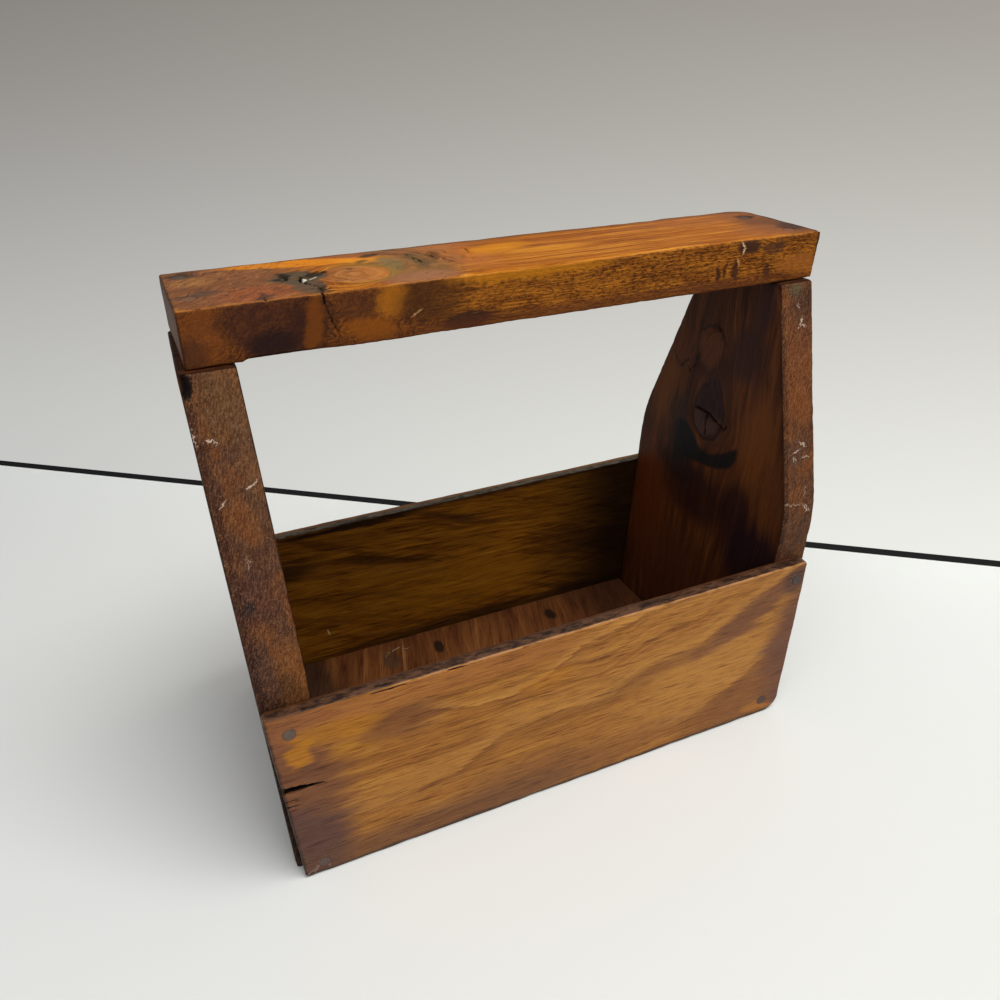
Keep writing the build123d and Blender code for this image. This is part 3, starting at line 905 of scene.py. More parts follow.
def handle_wear(point, block):
    depth = 0.15 * (1 + rumple(point, (40, 18, 18)))
    crack = 0.0
    spot = (point.x + 0.5 * rumple(point, 3, 1), point.y + 0.5 * rumple(point, 3, 2))
    if point.z > 254:
        for path in top_cracks:
            crack = max(crack, cut_depth(spot, path))
        for middle in handle_nail_spots:
            depth += dish((point.x, point.y), middle, 3.05, 0.4, 0.6)
        # The knot stands a little proud of a ring that has shrunk
        ring = math.hypot((point.x + 77) / 17, (point.y + 2) / 15)
        depth += 0.35 * smooth(1 - abs(ring - 1) * 6)
        patch = math.hypot((point.x + 98) / 11, (point.y - 1) / 14)
        if patch < 1:
            depth += smooth(1.6 * (1 - patch)) * (0.35 + 0.5 * rumple(point, 3.5, 8))
    if point.y < -24:
        spot = (point.x + 0.4 * rumple(point, 3, 1), point.z)
        crack = max(crack, cut_depth(spot, front_crack))
        if point.x > -60:
            depth += 0.16 * (1 + rumple(point, (2.6, 9, 2.2), 9))
        depth += 0.12 * (1 + rumple((point.x + point.z * 0.5, 0, point.z), (2.2, 9, 8), 10))
        if abs(point.x - 110) < 9 and point.z > 250:
            depth += 0.5 * max(0, rumple(point, (3, 9, 5), 11))
    # Over the end boards the bar keeps its full depth; beside the left one it was shaved
    if point.z < 237 and -129 < point.x < -60:
        depth += 0.9 * smooth((point.x + 129) / 1.5) * smooth((-80 - point.x) / 30)
    # The far arris is chipped here and there
    if point.y > 32 and point.z > 254:
        depth += 0.3 * max(0, rumple(point, (14, 30, 30), 12))
    return depth, crack


def handle_shape(point):
    """Rounds the bar's four upright corners, the far right one most, and slants its right end."""
    (x0, y0, _), (x1, y1, _) = handle_low, handle_high
    point.x -= (257.8 - point.z) * 0.1 * smooth((point.x - 120) / 30)
    for corner, radius in (((x0, y0), 1.2), ((x0, y1), 2), ((x1, y0), 1.2), ((x1, y1), 10)):
        point.x, point.y = round_corner((point.x, point.y), corner, radius)
    return point


fine_columns = [(-151, -148, 0.6), (-148, -14, 1.1), (135, 149, 1.0), (149, 152.54, 0.5)]
handle_block = gridded_block(
    lines(-151, 152.54, 2.0, *fine_columns),
    lines(-27.5, 35.5, 1.8, (-27.5, -25, 0.5), (-25, 25, 1.0), (33, 35.5, 0.5)),
    lines(235, 257.8, 1.3, (235, 237, 0.5), (255.6, 257.8, 0.4)),
)
weather(handle_block, handle_low, handle_high, 0.9, handle_wear, handle_shape)
tote_piece("handle_bar_worn", handle_block, handle_wood, "handle_bar", "handle_bar")

# %% [markdown]
# ## The end boards
# Thick boards that stand upright, so their grain runs up and down. Below the shoulders they are as
# wide as the tray, and above them they taper to the handle. The right one leans out and shows a
# large dead knot, cracked across, with black stain running under it. The sawn front edges are rough
# and scratched. Both could be modelled apart, but they differ only in their lean, their stains and
# the knot, so one function makes each board and one writes its finish. A board is shaped upright,
# where its places are easy to give, and leant over last.

# %% End board finish
def end_board_finish(name, depth_of, face, face_stains, edge_stains_and_shade, scratches, knot=None):
    """Upright grain in dark red-brown, with a rougher and lighter sawn edge at front and rear.

    depth_of gives how far a point lies from the board's outer or inner face, and knot the middle
    of a knot, whose distance the mesh keeps in an attribute.
    """
    wood = Finish(name)
    x, y, z = wood.x, wood.y, wood.z
    inward = depth_of(wood)
    sway = (wood.noise((y / 22, z / 60, x / 40), 2) - 0.5) * 12
    flow = y + sway
    if knot:
        knot_off = wood.attribute("knot")
        flow = y - (y - knot[0]) / (knot_off * knot_off).above(1.0) + sway
    bands, streaks, fibres = grain(wood, flow, inward, z, 1.1)
    colour = shades(
        wood,
        bands * 0.65 + streaks * 0.35,
        (0.34, (48, 24, 13)),
        (0.46, (66, 34, 17)),
        (0.57, (84, 45, 21)),
        (0.7, (106, 60, 27)),
    )
    soft_place = wood.at(x, y + (streaks - 0.5) * 5, z + (bands - 0.5) * 14)
    colour = dabbed(wood, colour, soft_place, face, face_stains)
    if knot:
        split = z + (streaks - 0.5) * 7 + (y - knot[0]) * 0.1
        shade = wood.mix(split.fade(155, 152), (42, 25, 27), (66, 44, 37))
        shade = wood.mix(z.fade(167, 174) * 0.5, shade, (58, 40, 38))
        rings = wood.noise((knot_off * 5, y / 16, z / 16), 3)
        shade = wood.mix(rings.fade(0.55, 0.35) * 0.5, shade, (30, 18, 17))
        colour = wood.mix(knot_off.fade(1.05, 0.95) * 0.92, colour, shade)
        rim = knot_off.fade(0.9, 1.0) * knot_off.fade(1.14, 1.02)
        colour = wood.mix(rim * z.fade(168, 156) * 0.7, colour, (24, 13, 11))
        # Black stain has run out of the knot, round at the rear and with a tail swept forwards
        top = [(38, 133), (33, 140), (28, 143), (20, 141), (13, 135.5), (6, 132), (-4, 133.5)]
        foot = [(38, 128), (32, 122), (24, 120), (16, 122), (6, 124), (-4, 125.5), (-12, 128)]
        ragged = z + (fibres - 0.5) * 1.5
        over_foot = ragged - wood.curve(y, *foot, (-20, 132), (-24, 138))
        loose = y.fade(6, 22)  # how soft its lower edge is
        stain = over_foot.fade(-1.6, 1.0) * (1 - loose) + over_foot.fade(-9, 3) * loose
        stain = stain * (ragged - wood.curve(y, *top, (-15, 139), (-23, 144))).fade(1.6, -1.6)
        stain = stain * y.fade(43, 27) * y.fade(-25, -22)
        colour = wood.mix(stain * 0.94, colour, (15, 18, 19))
        # Two scalloped arcs above the knot, where the wood has lifted round a smaller one
        chatter = z + (wood.noise((y / 2.2, z / 2.2), 2) - 0.5) * 7
        first = wood.curve(y, (28, 186), (25, 195), (20, 200), (14, 202), (8, 200.5), (1, 195))
        second = wood.curve(y, (46, 179), (40, 173), (35, 174), (31, 180), (28, 187))
        for arc, rear_end, fore_end in ((first, 27, 1), (second, 46, 28)):
            line = (chatter - arc).size().fade(1.1, 0.2) * y.fade(rear_end + 1, rear_end - 1)
            line = line * y.fade(fore_end - 1, fore_end + 1)
            colour = wood.mix(line * 0.85, colour, (24, 14, 11))
    colour = lined(wood, colour, streaks, fibres, 0.45)
    # The sawn edges
    edge = wood.attribute("sawn")
    flecks = wood.noise(((inward - z * 0.4) / 0.7, y / 5, (z + inward * 0.4) / 3), 4, 0.72)
    broad = wood.noise((inward / 8, y / 20, z / 16), 3, 0.6)
    fuzz = wood.noise((inward / 0.55, y / 4, z / 0.9), 4, 0.75)
    edge_colour = wood.mix(broad.fade(0.38, 0.62), (86, 56, 40), (112, 68, 38))
    sawn_edge = (1, -60, 90)
    edge_z = z + (flecks - 0.5) * 5 + (broad - 0.5) * 8
    edge_place = wood.at(inward + (flecks - 0.5) * 4, y, edge_z)
    edge_colour = dabbed(wood, edge_colour, edge_place, sawn_edge, edge_stains_and_shade)
    # Torn fibres, dark between and pale along their tips, lie over every stain
    edge_colour = wood.mix(flecks.fade(0.54, 0.4) * 0.45, edge_colour, (128, 96, 76), "MULTIPLY")
    edge_colour = wood.mix(fuzz.fade(0.5, 0.38) * 0.5, edge_colour, (128, 98, 80), "MULTIPLY")
    edge_colour = wood.mix(flecks.fade(0.52, 0.64) * 0.25, edge_colour, (150, 106, 70))
    edge_colour = wood.mix(fuzz.fade(0.56, 0.66) * 0.35, edge_colour, (168, 128, 94))
    wiggle = wood.noise((inward / 1.4, y, z / 1.4), 2)
    scratch_z = z + (wiggle - 0.5) * 3 + (flecks - 0.5) * 2
    scratch_place = wood.at(inward + (wiggle - 0.5) * 6, y, scratch_z)
    edge_colour = dabbed(wood, edge_colour, scratch_place, sawn_edge, scratches)
    colour = wood.mix(edge, colour, edge_colour)
    arris = wood.attribute("arris")
    # Painted shade: the faces darken along their arrises
    colour = wood.mix(arris * edge.fade(1.0, 0.4) * 0.75, colour, (30, 18, 13))
    relief = wood.mix(edge, streaks * 0.5 + fibres * 0.3, flecks * 0.6 + fuzz * 0.6)
    return varnished(wood, colour, relief, 0.5 + edge * 0.15, 0.0, 0.4, 0.06)


bare = (196, 174, 156)
right_face_stains = [
    (50, 160, 12, 26, 0, 0.9, (104, 60, 22), 0.7),
    (-36, 152, 13, 26, 0, 0.9, (104, 58, 25), 0.75),
    (-54, 128, 10, 22, 0, 1.0, (86, 48, 24), 0.6),
    (50, 76, 20, 42, 0, 0.9, (92, 44, 18), 0.75),
    (10, 40, 40, 34, 0, 1.0, (74, 38, 20), 0.6),
    (4, 104, 30, 16, 0, 0.9, (40, 20, 18), 0.8),
    (-50, 88, 24, 22, 20, 0.7, (32, 19, 24), 0.88),
    (-30, 110, 12, 14, 0, 0.8, (38, 21, 22), 0.75),
    (8, 180, 18, 9, 0, 0.9, (50, 26, 22), 0.6),
    (-16, 196, 14, 14, 0, 0.8, (42, 24, 25), 0.7),
    (14, 189, 10, 11, 0, 0.5, (94, 54, 32), 0.75),
    (38, 184, 9, 11, 0, 0.8, (86, 44, 24), 0.6),
    (-22, 222, 8, 14, 0, 0.8, (40, 25, 30), 0.6),
    (32, 146, 10, 12, 0, 0.9, (44, 30, 26), 0.7),
    (26, 114, 20, 8, 0, 0.9, (34, 20, 18), 0.7),
]
right_edge_stains_and_shade = [
    (6, 155, 9, 6, 0, 0.9, (80, 54, 46), 0.6),
    (10, 231, 4, 3.5, 0, 0.8, (96, 88, 64), 0.65),
    (10, 188, 10, 26, 0, 1.0, (124, 70, 34), 0.5),
    (10, 112, 12, 12, 0, 1.0, (84, 58, 44), 0.6),
    (18, 226, 6, 9, 0, 0.9, (56, 38, 30), 0.6),
    # Painted shade line along the inner arris of the front edge
    (1, 160, 2, 80, 0, 0.9, (52, 32, 23), 0.7),
]
right_scratches = [
    (12.4, 216, 0.5, 2.4, 20, 0.7, bare, 0.8),
    (14, 214.6, 1.6, 0.4, 20, 0.7, bare, 0.8),
    (11, 224, 0.35, 1.8, -20, 0.8, bare, 0.6),
    (12, 158.6, 3.0, 0.35, 30, 0.8, bare, 0.7),
    (8, 155.5, 2.6, 0.35, -20, 0.8, bare, 0.7),
    (14, 152, 2.2, 0.35, 10, 0.8, bare, 0.7),
    (7, 151.8, 1.6, 0.35, 60, 0.8, bare, 0.6),
    (15, 126.5, 2.6, 0.4, 60, 0.8, bare, 0.8),
    (6, 129.8, 7, 0.25, 10, 0.8, bare, 0.5),
    (13.4, 135, 0.3, 2.4, 0, 0.8, bare, 0.5),
]
left_face_stains = [
    (0, 150, 50, 30, 0, 1.0, (104, 58, 28), 0.4),
    (30, 60, 30, 40, 0, 1.0, (58, 32, 22), 0.6),
    (-30, 110, 20, 20, 0, 0.9, (48, 28, 24), 0.6),
]
left_edge_stains_and_shade = [
    (9, 148, 9, 10, 0, 0.9, (70, 45, 42), 0.65),
    (5.5, 145, 2.6, 2.6, 0, 0.8, (34, 36, 36), 0.8),
    (17, 114, 7, 14, 0, 0.9, (134, 82, 40), 0.65),
    (14, 108, 5, 6, 0, 0.9, (74, 48, 30), 0.6),
    (5, 116, 6, 16, 0, 0.9, (70, 50, 44), 0.65),
    # Painted shade in the burst under the handle
    (2.2, 231, 3.0, 5, 0, 0.5, (28, 18, 15), 0.95),
    (14, 222, 8, 14, 0, 1.0, (112, 80, 46), 0.5),
    (19, 200, 4, 30, 0, 1.0, (96, 72, 54), 0.45),
    # Painted shade line along the outer arris of the front edge
    (1, 150, 4, 100, 0, 0.8, (54, 34, 29), 0.75),
    # Painted shade where the front board covers the edge
    (6, 40, 30, 58, 0, 0.4, (22, 15, 12), 0.92),
]
left_scratches = [
    (17.5, 191, 2.0, 0.3, -20, 0.8, bare, 0.8),
    (19.4, 192, 1.0, 0.3, -60, 0.8, bare, 0.7),
    (6.5, 210, 1.9, 0.35, 10, 0.7, bare, 0.85),
    (8.3, 208.6, 0.35, 1.2, 20, 0.7, bare, 0.7),
    (0.9, 212, 0.4, 3.2, 0, 0.8, bare, 0.7),
    (5.5, 186, 1.5, 0.3, -50, 0.8, bare, 0.7),
    (10, 162.5, 0.35, 2.6, 0, 0.9, bare, 0.4),
]
right_wood = end_board_finish(
    "right_end_board_wood",
    lambda wood: wood.x - wood.z * 0.082215 - 109.347,  # from the inner face
    (0, 120, 60),
    right_face_stains,
    right_edge_stains_and_shade,
    right_scratches,
    (7, 157),
)
left_wood = end_board_finish(
    "left_end_board_wood",
    lambda wood: wood.x + wood.z * 0.036698 - wood.y * 0.040164 + 144.7805,  # from the outer face
    (0, -140, 60),
    left_face_stains,
    left_edge_stains_and_shade,
    left_scratches,
)

# %% End boards
# Their thickness is measured along X, so a board that leans counts as thicker
left_thickness, right_thickness = 22.533, 20.168
board_half_width = 68
taper_top = 29.7
post_height = 235


def half_width(height, shoulder):
    """Half the board's width: upright up to the soft shoulder, and then tapering to the handle."""
    slope = (board_half_width - taper_top) / (post_height - shoulder)
    over = height - shoulder
    # The shoulder is rounded over 13 mm each way
    if abs(over) < 13:
        return board_half_width - slope * (over + 13) ** 2 / 52
    return board_half_width - slope * max(over, 0)


def knot_distance(point, middle=(7, 157), radii=(15.6, 18)):
    """How far a point lies from the dead knot, as a share of its size. Its outline is uneven."""
    off = Vector((0, (point.y - middle[0]) / radii[0], (point.z - middle[1]) / radii[1]))
    return off.length * (1 + 0.09 * rumple(point, 11, 31) + 0.03 * rumple(point, 3.5, 32))


def end_board(thickness, low_lines, wear, place):
    block = gridded_block(
        lines(0, thickness, 1.3, (0, 1.3, 0.4), (thickness - 1.3, thickness, 0.4)),
        lines(-68, 68, 2.0, (-68, -66, 0.5), (-24, 30, 1.1), (66, 68, 0.5)),
        low_lines,
    )
    weather(block, (0, -68, 0), (thickness, 68, post_height), 1.3, wear)
    block.normal_update()
    edge = block.verts.layers.float.new("sawn")
    knot = block.verts.layers.float.new("knot")
    for vert in block.verts:
        vert[edge] = smooth((abs(vert.normal.y) - 0.45) / 0.3)
        vert[knot] = knot_distance(vert.co)
        vert.co = place(vert.co)
    return block


cut_ends_lines = [(0, 1.5, 0.5), (233, post_height, 0.5)]
left_lines = lines(0, post_height, 2.0, (100, 233, 1.2), *cut_ends_lines)
knot_lines = [(100, 132, 1.4), (132, 182, 1.0), (182, 233, 1.4)]
right_lines = lines(0, post_height, 2.0, *knot_lines, *cut_ends_lines)


def edge_wear(point):
    """Fine steps left by the saw on a board's narrow edges."""
    if abs(point.y) < 66:
        return 0.0
    torn = max(0, rumple(point, (3, 9, 4), 13))
    return 0.1 * (1 + rumple(point, (9, 9, 1.7), 14)) + 0.4 * torn


def left_wear(point, block):
    depth = 0.12 * (1 + rumple(point, (20, 30, 50))) + edge_wear(point)
    crack = 0.0
    if point.y < -60 and point.z > 222:
        burst = math.hypot((point.x - 1) / 4.6, (point.z - 231) / 6.5)
        crack = 2.2 * smooth(1.5 * (1 - burst)) * (1 + 0.5 * rumple(point, 2.5, 15))
    if point.y < -60 and 122 < point.z < 146 and point.x > 8:
        depth += 0.5 * max(0, rumple(point, (3.4, 9, 3.4), 16))
    return depth, crack


# Across the knot, down its lower half, above it, and along the two arcs
knot_cracks = [
    [
        *[(23, 153, 0.4, 0.6), (15, 154.6, 0.8, 1.6), (6, 154, 0.9, 1.8), (-4, 151.4, 0.7, 1.4)],
        *[(-10, 149.4, 0.5, 1), (-13, 152, 0.5, 0.9), (-14, 156.6, 0.3, 0.5)],
    ],
    [(7.2, 153.6, 0.8, 1.6), (7.6, 147, 0.7, 1.5), (7, 142, 0.8, 1.4), (7.4, 138.4, 0.4, 0.6)],
    [(3, 178, 0.3, 0.3), (6, 172, 0.4, 0.5), (4, 170, 0.3, 0.4), (-4, 166, 0.3, 0.3)],
    [
        *[(28, 188, 0.3, 0.3), (26, 194, 0.5, 0.7), (24, 198, 0.5, 0.8), (21, 198.5, 0.5, 0.8)],
        *[(20, 201.4, 0.5, 0.8), (17, 200.4, 0.5, 0.8), (15, 203, 0.5, 0.9), (12, 200.8, 0.5, 0.8)],
        *[(9.6, 202.4, 0.5, 0.8), (7, 199.6, 0.5, 0.8), (2, 196.6, 0.3, 0.4)],
    ],
    [
        *[(28, 188, 0.3, 0.3), (31, 181, 0.4, 0.7), (29, 178, 0.4, 0.7), (33, 176, 0.5, 0.8)],
        *[(35, 171.6, 0.5, 0.8), (39, 173.6, 0.5, 0.7), (41, 178, 0.4, 0.6), (45, 176, 0.3, 0.4)],
    ],
]


def right_wear(point, block):
    depth = 0.12 * (1 + rumple(point, (20, 30, 50))) + edge_wear(point)
    crack = 0.0
    if point.x < 1.5:
        spot = (point.y + 0.5 * rumple(point, 3, 1), point.z + 0.5 * rumple(point, 3, 2))
        for path in knot_cracks:
            crack = max(crack, cut_depth(spot, path))
        # The knot has shrunk away from the wood round it, most at its lower half
        groove = smooth(1 - abs(knot_distance(point) - 1.02) * 7)
        depth += (0.15 + 0.35 * smooth((158 - point.z) / 10)) * groove
    if point.y < -62 and point.x < 6 and point.z > 218:
        depth += 1.2 * smooth(1.4 * (1 - math.hypot(point.x / 5, (point.z - 228) / 7)))
    return depth, crack


def left_place(point):
    y = point.y * half_width(point.z, 120.5) / board_half_width
    return Vector((left_outer(point.z, y) + point.x, y, point.z))


def right_place(point):
    """Here the block's X runs from the inner face, at 0, to the outer one."""
    width = half_width(point.z, 124 if point.y < 0 else 134)
    inner = right_outer(point.z) - right_thickness
    return Vector((inner + point.x, point.y * width / board_half_width, point.z))


left_block = end_board(left_thickness, left_lines, left_wear, left_place)
tote_piece("left_end_board_worn", left_block, left_wood, "left_end_board", "left_end_board")
right_block = end_board(right_thickness, right_lines, right_wear, right_place)
tote_piece("right_end_board_worn", right_block, right_wood, "right_end_board", "right_end_board")

# %% [markdown]
# ## The rear board and the floor
# The rear board is the front one's twin, seen from inside, where the stain is golden at the left.
# Painted shade turns it nearly black at the right and darkens its foot by the floor. The floor is a
# dark red-brown sheet whose grain runs across the tray, with two oval pin knots, a few scratches
# and painted shade along its ends by the end boards. Both could share the front board's finish, but
# their colours and the way their grain runs are their own.

# %% Rear board finish
wood = Finish("rear_board_wood")
x, y, z = wood.x, wood.y, wood.z
ripple = (wood.noise((x / 30, z / 9, y), 3) - 0.5) * 4
falling = z + ripple + x * 0.3
flow = z + ripple + z.fade(30, 80) * x * 0.06
bands, streaks, fibres = grain(wood, flow, y, x)
figure = wood.noise((x / 60, falling / 6, y / 9), 3, 0.6)
colour = shades(
    wood,
    bands * 0.4 + streaks * 0.6,
    (0.34, (98, 56, 14)),
    (0.46, (134, 82, 18)),
    (0.56, (160, 102, 24)),
    (0.7, (190, 130, 40)),
)
colour = wood.mix(figure.fade(0.48, 0.38) * 0.55, colour, (78, 44, 16))
colour = wood.mix(figure.fade(0.54, 0.68) * 0.4, colour, (158, 108, 38))
soft_place = wood.at(x + (bands - 0.5) * 20, y, z + (streaks - 0.5) * 10)
rear_stains_and_shade = [
    (-60, 70, 34, 3, 14, 0.8, (58, 32, 16), 0.7),
    (-8, 86, 26, 3, 20, 0.9, (56, 32, 20), 0.6),
    (-72, 97, 44, 2.2, 0, 0.6, (24, 14, 10), 0.9),
    (30, 98.5, 100, 1.4, 0, 0.8, (34, 20, 14), 0.8),
    (-122, 76, 24, 8, 0, 0.9, (54, 32, 20), 0.8),
    # Painted shade in the crease above the floor
    (0, 6, 130, 9, 0, 0.8, (48, 28, 12), 0.8),
    (-20, 36, 60, 16, 0, 1.0, (156, 104, 20), 0.5),
]
inner_face = (1, 68, 5)
colour = dabbed(wood, colour, soft_place, inner_face, rear_stains_and_shade)
# Painted shade: the right end darkens nearly to black
shaded_right_end = (x + (bands - 0.5) * 30 - z * 0.1).fade(20, 100)
colour = wood.mix(shaded_right_end * 0.93, colour, (22, 14, 8))
pale_nick = [(-94.5, 27.5, 0.5, 2.2, -15, 0.8, (206, 186, 140), 0.85)]
colour = dabbed(wood, colour, wood.place, inner_face, pale_nick)
colour = lined(wood, colour, streaks, fibres, 0.7)
mottle = wood.noise((x / 6, y / 2, z / 2), 4, 0.65)
rim_colour = wood.mix(mottle.fade(0.36, 0.66), (58, 48, 38), (120, 106, 90))
colour = wood.mix(z.fade(98.5, 99.0), colour, rim_colour)
outside = wood.mix(bands, (120, 70, 24), (176, 116, 44))
outside = lined(wood, outside, streaks, fibres, 0.8)
colour = wood.mix(y.fade(71, 73) * 0.85, colour, outside)
rear_wood = varnished(wood, colour, streaks * 0.5 + fibres * 0.5, 0.5, 0.05)

# %% Rear board
rear_nail_spots = [(-134.04, 88.4), (-131.04, 6.5), (126.73, 88.4), (120.23, 9.3)]


def rear_wear(point, block):
    depth = 0.12 * (1 + rumple(point, (60, 9, 14), 20))
    depth += 0.04 * (1 + rumple(point, (14, 3, 1.6), 21))
    spot = (point.x, point.z)
    crack = 0.0
    if point.y > 71:
        for middle in rear_nail_spots:
            depth += dish(spot, middle, 3.05, 0.4, 0.6)
    elif point.z > 93 and -110 < point.x < -50:
        crack = 0.8 * max(0, rumple(point, (9, 9, 4), 22)) * smooth((point.z - 93) / 3)
    return depth, crack


def rear_shape(point):
    return cut_ends(point, left_outer(point.z, 68) + 0.5, right_outer(point.z) - 0.5, 3, 3)


rear_columns = [(spot[0] - 5, spot[0] + 5, 0.9) for spot in rear_nail_spots[1:3]]
rear_layers = [(spot[1] - 5, spot[1] + 5, 0.9) for spot in rear_nail_spots]
rear_columns += [(side_left, -149, 0.5), (132, side_right, 0.5)]
rear_block = gridded_block(
    lines(side_left, side_right, 2.2, *rear_columns),
    lines(68, 75, 1.4, (68, 69, 0.3), (74, 75, 0.3)),
    lines(0, side_height, 2.0, (0, 1.2, 0.3), (92, side_height, 0.6), *rear_layers),
)
rear_low, rear_high = (side_left, 68, 0), (side_right, 75, side_height)
weather(rear_block, rear_low, rear_high, 0.9, rear_wear, rear_shape)
tote_piece("rear_board_worn", rear_block, rear_wood, "rear_board", "rear_board")

# %% Floor finish
wood = Finish("floor_wood")
x, y, z = wood.x, wood.y, wood.z
sway = (wood.noise((x / 30, y / 70, z), 2) - 0.5) * 7
flow = x - y * 0.3 + sway
bands, streaks, fibres = grain(wood, flow, z, y, 1.5)
colour = shades(
    wood,
    bands * 0.7 + streaks * 0.3,
    (0.3, (78, 44, 26)),
    (0.46, (106, 62, 34)),
    (0.6, (124, 76, 40)),
    (0.8, (152, 100, 56)),
)
soft_place = wood.at(x + (streaks - 0.5) * 4, y + (bands - 0.5) * 10, z)
floor_stains_and_shade = [
    (-31, 50, 3.0, 6.2, -8, 0.5, (34, 26, 20), 0.9),
    (47, 50, 3.6, 5.4, -8, 0.6, (30, 25, 20), 0.88),
    # Painted shade along the left end board
    (-110, 30, 12, 60, 0, 0.8, (52, 38, 30), 0.8),
    (-78, 52, 1.2, 20, -17, 0.9, (150, 98, 56), 0.7),
    (-68, 52, 1.2, 20, -17, 0.9, (144, 94, 56), 0.6),
    (-54, 50, 1.0, 16, -14, 0.9, (164, 118, 72), 0.7),
    (-3, 58, 1.0, 14, -20, 0.9, (156, 104, 60), 0.6),
    # Painted shade by the right end board
    (95, 45, 26, 50, 0, 1.0, (62, 36, 24), 0.7),
    (-62, 50, 5, 8, 0, 0.8, (66, 56, 44), 0.6),
]
floor_top = (2, 8, 6)
colour = dabbed(wood, colour, soft_place, floor_top, floor_stains_and_shade)
wiggle = wood.noise((x / 2, y / 2, z), 2)
scratch_place = wood.at(x + (wiggle - 0.5) * 6, y + (wiggle - 0.5) * 3, z)
pale = (190, 178, 156)
floor_scratches = [
    (-56, 59, 3, 0.4, 20, 0.8, pale, 0.8),
    (-51, 57, 2.4, 0.4, -10, 0.8, pale, 0.7),
    (-63, 56, 0.4, 3, -20, 0.8, (180, 150, 110), 0.7),
]
colour = dabbed(wood, colour, scratch_place, floor_top, floor_scratches)
colour = lined(wood, colour, streaks, fibres, 0.7)
floor_wood = varnished(wood, colour, streaks * 0.5 + fibres * 0.5, 0.5, 0.05)

# %% Floor
floor_low, floor_high = (-122.247, -68, 0), (109.347, 68, 8.4)
floor_block = gridded_block(
    *[lines(low, high, step) for low, high, step in zip(floor_low, floor_high, (2.2, 2.2, 2.1))]
)


def floor_wear(point, block):
    return 0.1 * (1 + rumple(point, (8, 40, 8), 30)), 0.0


def floor_shape(point):
    """The floor's ends are bevelled to the end boards' inner faces."""
    share = (point.x - floor_low[0]) / (floor_high[0] - floor_low[0])
    left = left_outer(point.z, point.y) + left_thickness
    right = right_outer(point.z) - right_thickness
    point.x = left + (right - left) * share
    return point


weather(floor_block, floor_low, floor_high, 0.5, floor_wear, floor_shape)
tote_piece("floor_board_worn", floor_block, floor_wood, "floor_board", "floor_board")

# %% [markdown]
# ## Nails
# The boards are held by round-headed wire nails, driven just below the surface and gone dark. A
# head could be a plain disc, but a driven one is dished by the hammer and its rim is battered.
# Each nail is turned from a circle: rim, dish, neck, shank and point, and then dented a little.

# %% Nail finish
nail = Finish("dark_nail_iron")
x, y, z = nail.x, nail.y, nail.z
tarnish = nail.noise(nail.vector("SCALE", nail.place, Scale=0.5), 3, 0.6)
pits = nail.noise(nail.vector("SCALE", nail.place, Scale=1.6), 3, 0.7)
colour = nail.mix(tarnish.fade(0.35, 0.65), (74, 58, 46), (108, 90, 72))
colour = nail.mix(pits.fade(0.52, 0.64) * 0.7, colour, (104, 64, 36))
# Varnish and dirt have taken most heads into the colour of the wood round them
bar_varnish = [
    (-144, 25, 9, 9, 0, 0.6, (76, 62, 48), 0.7),
    (-144, -10, 9, 9, 0, 0.6, (122, 82, 52), 0.85),
    (141, -16, 9, 9, 0, 0.6, (120, 72, 40), 0.9),
    (141, 18, 9, 9, 0, 0.6, (62, 44, 32), 0.75),
]
front_varnish = [
    (-135, 6, 9, 9, 0, 0.6, (88, 62, 52), 0.9),
    (118, 9, 9, 9, 0, 0.6, (72, 46, 36), 0.85),
    (128, 88, 9, 9, 0, 0.6, (56, 42, 40), 0.8),
    (-141, 88, 9, 9, 0, 0.6, (92, 78, 66), 0.5),
]
colour = dabbed(nail, colour, nail.place, (2, 258, 12), bar_varnish)
colour = dabbed(nail, colour, nail.place, (1, -75, 9), front_varnish)
bump = nail.node("ShaderNodeBump", inputs={"Strength": 1.0, "Distance": 0.0003, "Height": pits})
shader = nail.node(
    "ShaderNodeBsdfPrincipled",
    inputs={
        "Base Color": colour,
        "Metallic": 0.15,
        "Roughness": tarnish.fade(0.3, 0.7) * 0.25 + 0.4,
        "Normal": bump,
    },
)
nail.node("ShaderNodeOutputMaterial", inputs={0: shader})
nail_iron = nail.material


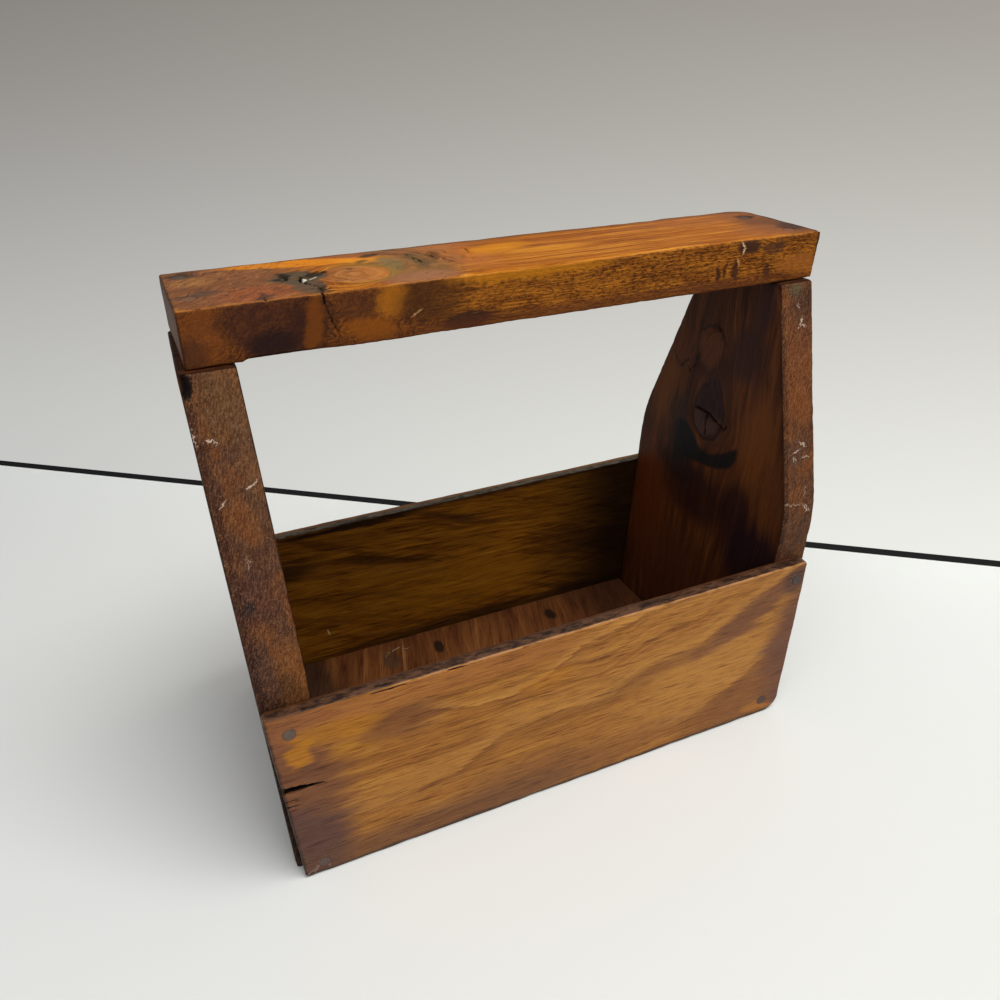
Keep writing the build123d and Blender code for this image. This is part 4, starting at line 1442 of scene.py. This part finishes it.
# %% Nails
def driven_nail(bm, head, thickness, shank, point, length, matrix, seed):
    """A nail with the top of its head at the origin, pointing down -Z, put in place by a matrix."""
    radius = shank * 0.15
    verts = bmesh.ops.create_circle(bm, cap_ends=True, segments=20, radius=radius)["verts"]
    bmesh.ops.translate(bm, verts=verts, vec=(0, 0, -length))
    tip = [face for face in bm.faces if all(v in verts for v in face.verts)]
    bmesh.ops.reverse_faces(bm, faces=tip)
    rim = list({edge for vert in verts for edge in vert.link_edges})
    # Each ring is the last one lifted and scaled: (radius, height)
    rings = [
        (shank, point - length),
        (shank, -thickness - 0.6),
        (shank * 1.25, -thickness),
        (head * 0.9, -thickness * 0.95),
        (head, -thickness * 0.6),
        (head, -0.25),
        (head * 0.93, -0.05),
        (head * 0.8, 0),
        (head * 0.5, -0.08),
        (head * 0.2, -0.12),
    ]
    everything = list(verts)
    for next_radius, height in rings:
        lifted = bmesh.ops.extrude_edge_only(bm, edges=rim)["geom"]
        ring = [v for v in lifted if isinstance(v, bmesh.types.BMVert)]
        rim = [e for e in lifted if isinstance(e, bmesh.types.BMEdge)]
        for vert in ring:
            vert.co *= next_radius / radius
            vert.co.z = height
        radius = next_radius
        everything += ring
    bmesh.ops.contextual_create(bm, geom=rim)
    for vert in everything:
        if vert.co.z > -thickness:
            batter = rumple(vert.co, 1.6, seed)
            vert.co.x *= 1 + 0.05 * batter
            vert.co.y *= 1 + 0.05 * rumple(vert.co, 1.6, seed + 1)
            vert.co.z += 0.08 * batter
    bmesh.ops.transform(bm, matrix=matrix, verts=everything)


def nails(name, node, places, head, thickness, shank, point, length):
    """Places are (where the head's top is, the way out of the wood). All sizes are in mm."""
    bm = bmesh.new()
    for seed, (top, out) in enumerate(places):
        matrix = Matrix.Translation(top) @ Vector(out).to_track_quat("Z", "Y").to_matrix().to_4x4()
        driven_nail(bm, head, thickness, shank, point, length, matrix, seed)
    tote_piece(name, bm, nail_iron, "nails", node)


# Radius and thickness of the head, radius of the wire, and length of the point
wire, thin_wire = (2.9, 1.2, 1.45, 4), (1.6, 0.8, 1.0, 2.5)
in_front = [((x, -74.75, z), (0, -1, 0)) for x, z in front_nail_spots]
behind = [((x, 74.75, z), (0, 1, 0)) for x, z in rear_nail_spots]
on_top = [((x, y, 257.45), (0, 0, 1)) for x, y in handle_nail_spots]
at_the_left = [((left_outer(5.8, y - 1.6) + 0.2, y, 4.2), (-1, 0, 0)) for y in (-20, 20)]
at_the_right = [((right_outer(5.8) - 0.2, y, 4.2), (1, 0, 0)) for y in (-20, 20)]
nails("front_nails", "front_board_nails", in_front, *wire, 40)
nails("rear_nails", "rear_board_nails", behind, *wire, 40)
nails("bar_nails", "handle_nails", on_top, *wire, 64)
nails("floor_fixing_nails", "floor_nails", at_the_left + at_the_right, *thin_wire, 45)
